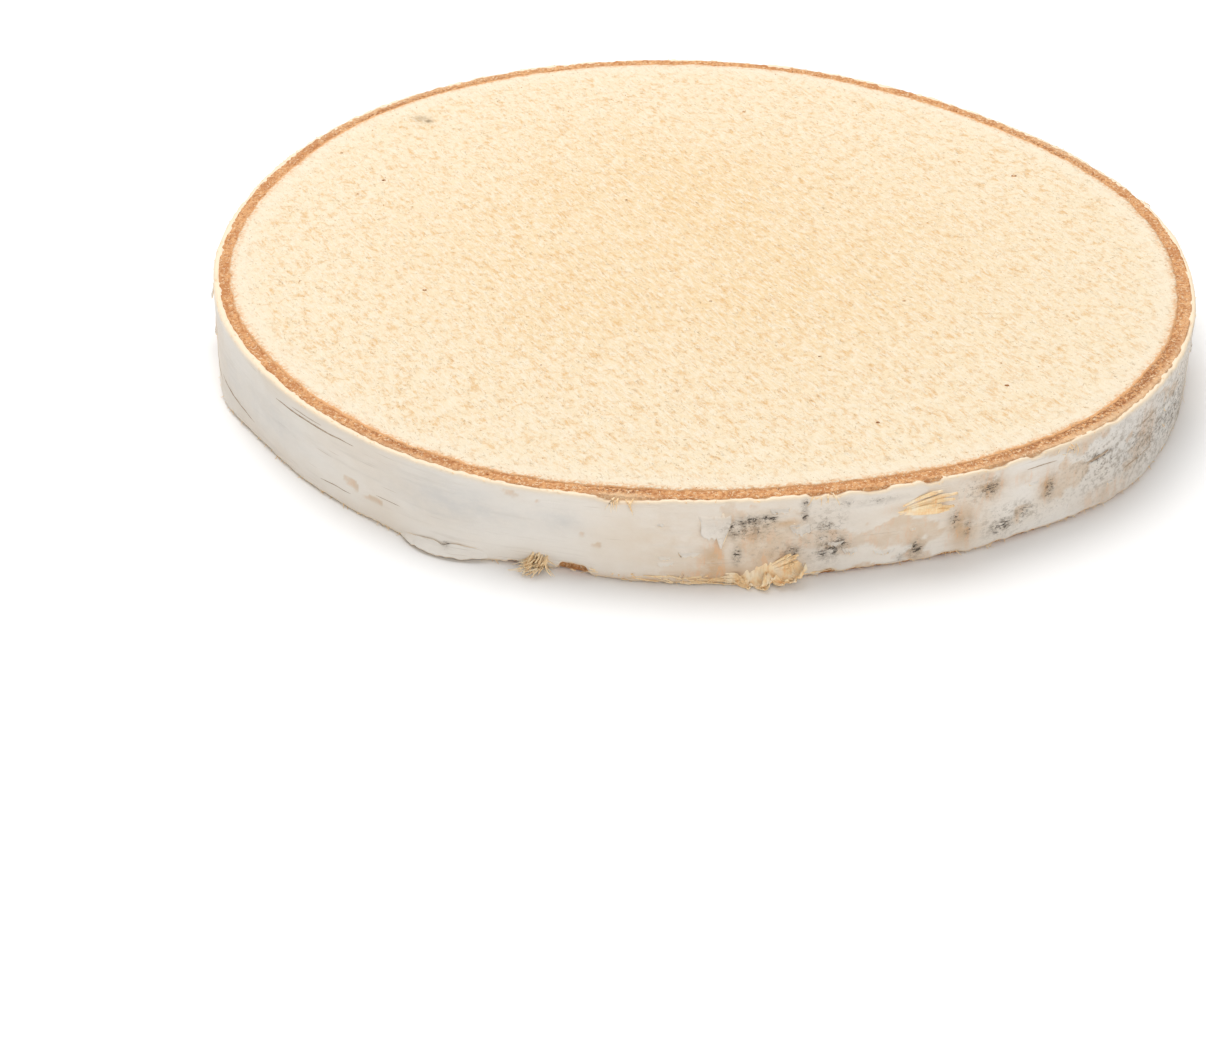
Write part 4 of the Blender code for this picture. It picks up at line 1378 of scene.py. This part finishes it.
class BIRCH_OT_wood_fuzz(bpy.types.Operator):
    """Models the short fibres that the saw raised on the two sawn faces"""

    bl_idname = "birch.wood_fuzz"
    bl_label = "Wood Fuzz"

    def execute(self, context):
        sizes, colours = settings(context)
        draw = random.Random(SEED + 5)
        for name, upper in (("upper_fuzz", True), ("lower_fuzz", False)):
            bm = in_batches(getattr(sizes, name), lambda small, _: self.fibre(small, draw, sizes, upper))
            for number, face in enumerate(bm.faces):
                face.material_index = number // FUZZ_FACES % BROWN_EVERY == 0
            new_piece(name, bm, colours, ["sawn_birch", "torn_fibre"])
        return {"FINISHED"}

    def fibre(self, bm, draw, sizes, upper):
        """One fibre, lying low along the way the saw went."""
        degrees = draw.uniform(0, 360)
        radius = math.sqrt(draw.random()) * (wood_edge(degrees, sizes, upper) - FUZZ_INSET)
        x, y = radius * math.cos(math.radians(degrees)), radius * math.sin(math.radians(degrees))
        fibre = drawn(draw, "fuzz")
        pitch = math.radians(draw.uniform(*FUZZ_PITCHES[upper])) * (1 if upper else -1)
        level = WOOD_LEVEL - wood_relief(x + FACES_APART * (not upper), y)
        place = Matrix.Translation(spot(x, y, THICKNESS - level - 0.5 * fibre.width if upper else level))
        turned = Matrix.Rotation(FIBRE_HEADING + fibre.heading, 4, "Z")
        turned @= Matrix.Rotation(math.pi / 2 - pitch, 4, "Y")
        length, width = sizes.fuzz_length * fibre.length * MM, fibre.width * MM
        bmesh.ops.create_cone(
            bm, cap_ends=True, segments=FUZZ_SIDES, radius1=0.5 * width, radius2=FUZZ_TIP * width,
            depth=length,
            matrix=place @ turned @ Matrix.Translation((0, 0, FUZZ_FORWARD * length)),
        )


class BIRCH_OT_crumbs(bpy.types.Operator):
    """Models crumbs of bark and sawdust on the ring and the sawn wood"""

    bl_idname = "birch.crumbs"
    bl_label = "Crumbs"

    def execute(self, context):
        sizes, colours = settings(context)
        draw = random.Random(SEED + 6)
        for name, count, make, dark in (
            ("bark_crumbs", sizes.crumbs, lambda bm, _: self.crumb(bm, draw, sizes), 0.0),
            ("dark_specks", len(SPECKS), self.speck, SPECK_DARK),
        ):
            piece = new_piece(name, in_batches(count, make), colours, ["inner_bark"])
            write_attribute(piece, "dark", np.full(len(piece.data.vertices), dark))
            write_attribute(piece, "pale", np.zeros(len(piece.data.vertices)))
        return {"FINISHED"}

    def crumb(self, bm, draw, sizes):
        """One crumb, most often on the ring."""
        degrees = draw.uniform(0, 360)
        upper = draw.random() < UPPER_CRUMBS
        if draw.random() < RING_CRUMBS:
            inset, size = draw.uniform(*RING_CRUMB_INSET), draw.uniform(*RING_CRUMB_SIZE)
            dip = sizes.ring_depth + RING_CRUMB_SINK
        else:
            inset = RING_CRUMB_INSET[1] + abs(draw.gauss(0, CRUMB_SPREAD))
            size, dip = draw.uniform(*WOOD_CRUMB_SIZE), WOOD_LEVEL - WOOD_CRUMB_RISE
        dip = max(dip, CRUMB_CLEAR * size)
        crumb = drawn(draw, "crumb")
        radius = max(rim_radius(degrees, upper) - inset, 0.0)
        place = Matrix.Translation(point(degrees, radius, THICKNESS - dip if upper else dip))
        turned = Matrix.Rotation(crumb.turn, 4, "Z") @ Matrix.Rotation(crumb.tip, 4, "X")
        self.lump(bm, size, place @ turned, (crumb.long, crumb.wide, crumb.flat, 1.0))

    def speck(self, bm, number):
        """One dark speck, flat on the upper face."""
        x, y, size = SPECKS[number]
        self.lump(bm, size, Matrix.Translation(spot(x, y, THICKNESS - WOOD_LEVEL)), SPECK_SHAPE)

    def lump(self, bm, size, place, shape):
        """A small uneven lump."""
        place = place @ Matrix.Diagonal(shape)
        bmesh.ops.create_icosphere(bm, subdivisions=1, radius=size * MM, matrix=place)


class BIRCH_OT_stage(bpy.types.Operator):
    """Sets the plain floor, the soft studio light and the camera"""

    bl_idname = "birch.stage"
    bl_label = "Stage"

    def execute(self, context):
        scene = context.scene
        bm = bmesh.new()
        bmesh.ops.create_grid(bm, x_segments=FLOOR_CELLS, y_segments=FLOOR_CELLS, size=FLOOR_HALF)
        floor = new_object("floor", bm, scene.birch_colours, ["pale_floor"])
        for light in LIGHTS:
            self.light(scene, *light)
        scene.world = bpy.data.worlds.new("soft_white")
        scene.world.use_nodes = True
        sky = scene.world.node_tree.nodes["Background"]
        sky.inputs["Color"].default_value = SKY_COLOUR
        sky.inputs["Strength"].default_value = SKY_STRENGTH
        scene.view_settings.view_transform = "Standard"
        camera = bpy.data.objects.new("camera", bpy.data.cameras.new("camera"))
        camera.data.sensor_width = SENSOR_WIDTH
        camera.data.lens = SENSOR_WIDTH * FOCAL_PIXELS / PHOTO_WIDTH
        camera.data.clip_start = CLIP_START
        camera.location = (CENTRE + Vector((0, 0, THICKNESS)) + Vector(CAMERA_PLACE)) * MM
        camera.rotation_euler = (math.radians(90 - CAMERA_PITCH), 0.0, 0.0)
        scene.collection.objects.link(camera)
        scene.camera = camera
        return {"FINISHED"}

    def light(self, scene, name, place, size, power):
        """A round softbox that points at the slice."""
        lamp = bpy.data.lights.new(name, "AREA")
        lamp.shape = "DISK"
        lamp.size = size
        lamp.energy = power
        made = bpy.data.objects.new(name, lamp)
        made.location = place
        made.rotation_euler = (-Vector(place)).to_track_quat("-Z", "Y").to_euler()
        scene.collection.objects.link(made)


class BIRCH_PT_slice(bpy.types.Panel):
    """Lists the pieces of the slice and their settings"""

    bl_label = "Birch Slice"
    bl_idname = "BIRCH_PT_slice"
    bl_space_type = "VIEW_3D"
    bl_region_type = "UI"
    bl_category = "Birch Slice"

    def draw(self, context):
        for group in settings(context):
            box = self.layout.box()
            for name in group.__annotations__:
                box.prop(group, name)
        for operator in PIECES:
            self.layout.operator(operator.bl_idname)


PIECES = (
    BIRCH_OT_sawn_wood,
    BIRCH_OT_inner_bark,
    BIRCH_OT_outer_bark,
    BIRCH_OT_bark_lines,
    BIRCH_OT_peeled_bark,
    BIRCH_OT_torn_curls,
    BIRCH_OT_torn_fibres,
    BIRCH_OT_wood_fuzz,
    BIRCH_OT_crumbs,
    BIRCH_OT_stage,
)
CLASSES = (BirchSliceSizes, BirchSliceColours, *PIECES, BIRCH_PT_slice)


def register():
    """Makes the operators, the panel and their settings known to Blender."""
    for item in CLASSES:
        bpy.utils.register_class(item)
    bpy.types.Scene.birch_sizes = bpy.props.PointerProperty(type=BirchSliceSizes)
    bpy.types.Scene.birch_colours = bpy.props.PointerProperty(type=BirchSliceColours)


def unregister():
    """Takes them away again."""
    del bpy.types.Scene.birch_colours
    del bpy.types.Scene.birch_sizes
    for item in reversed(CLASSES):
        bpy.utils.unregister_class(item)


def main():
    """Makes every piece and the stage."""
    register()
    for operator in PIECES:
        group, name = operator.bl_idname.split(".")
        getattr(getattr(bpy.ops, group), name)()


if __name__ == "__main__":
    main()
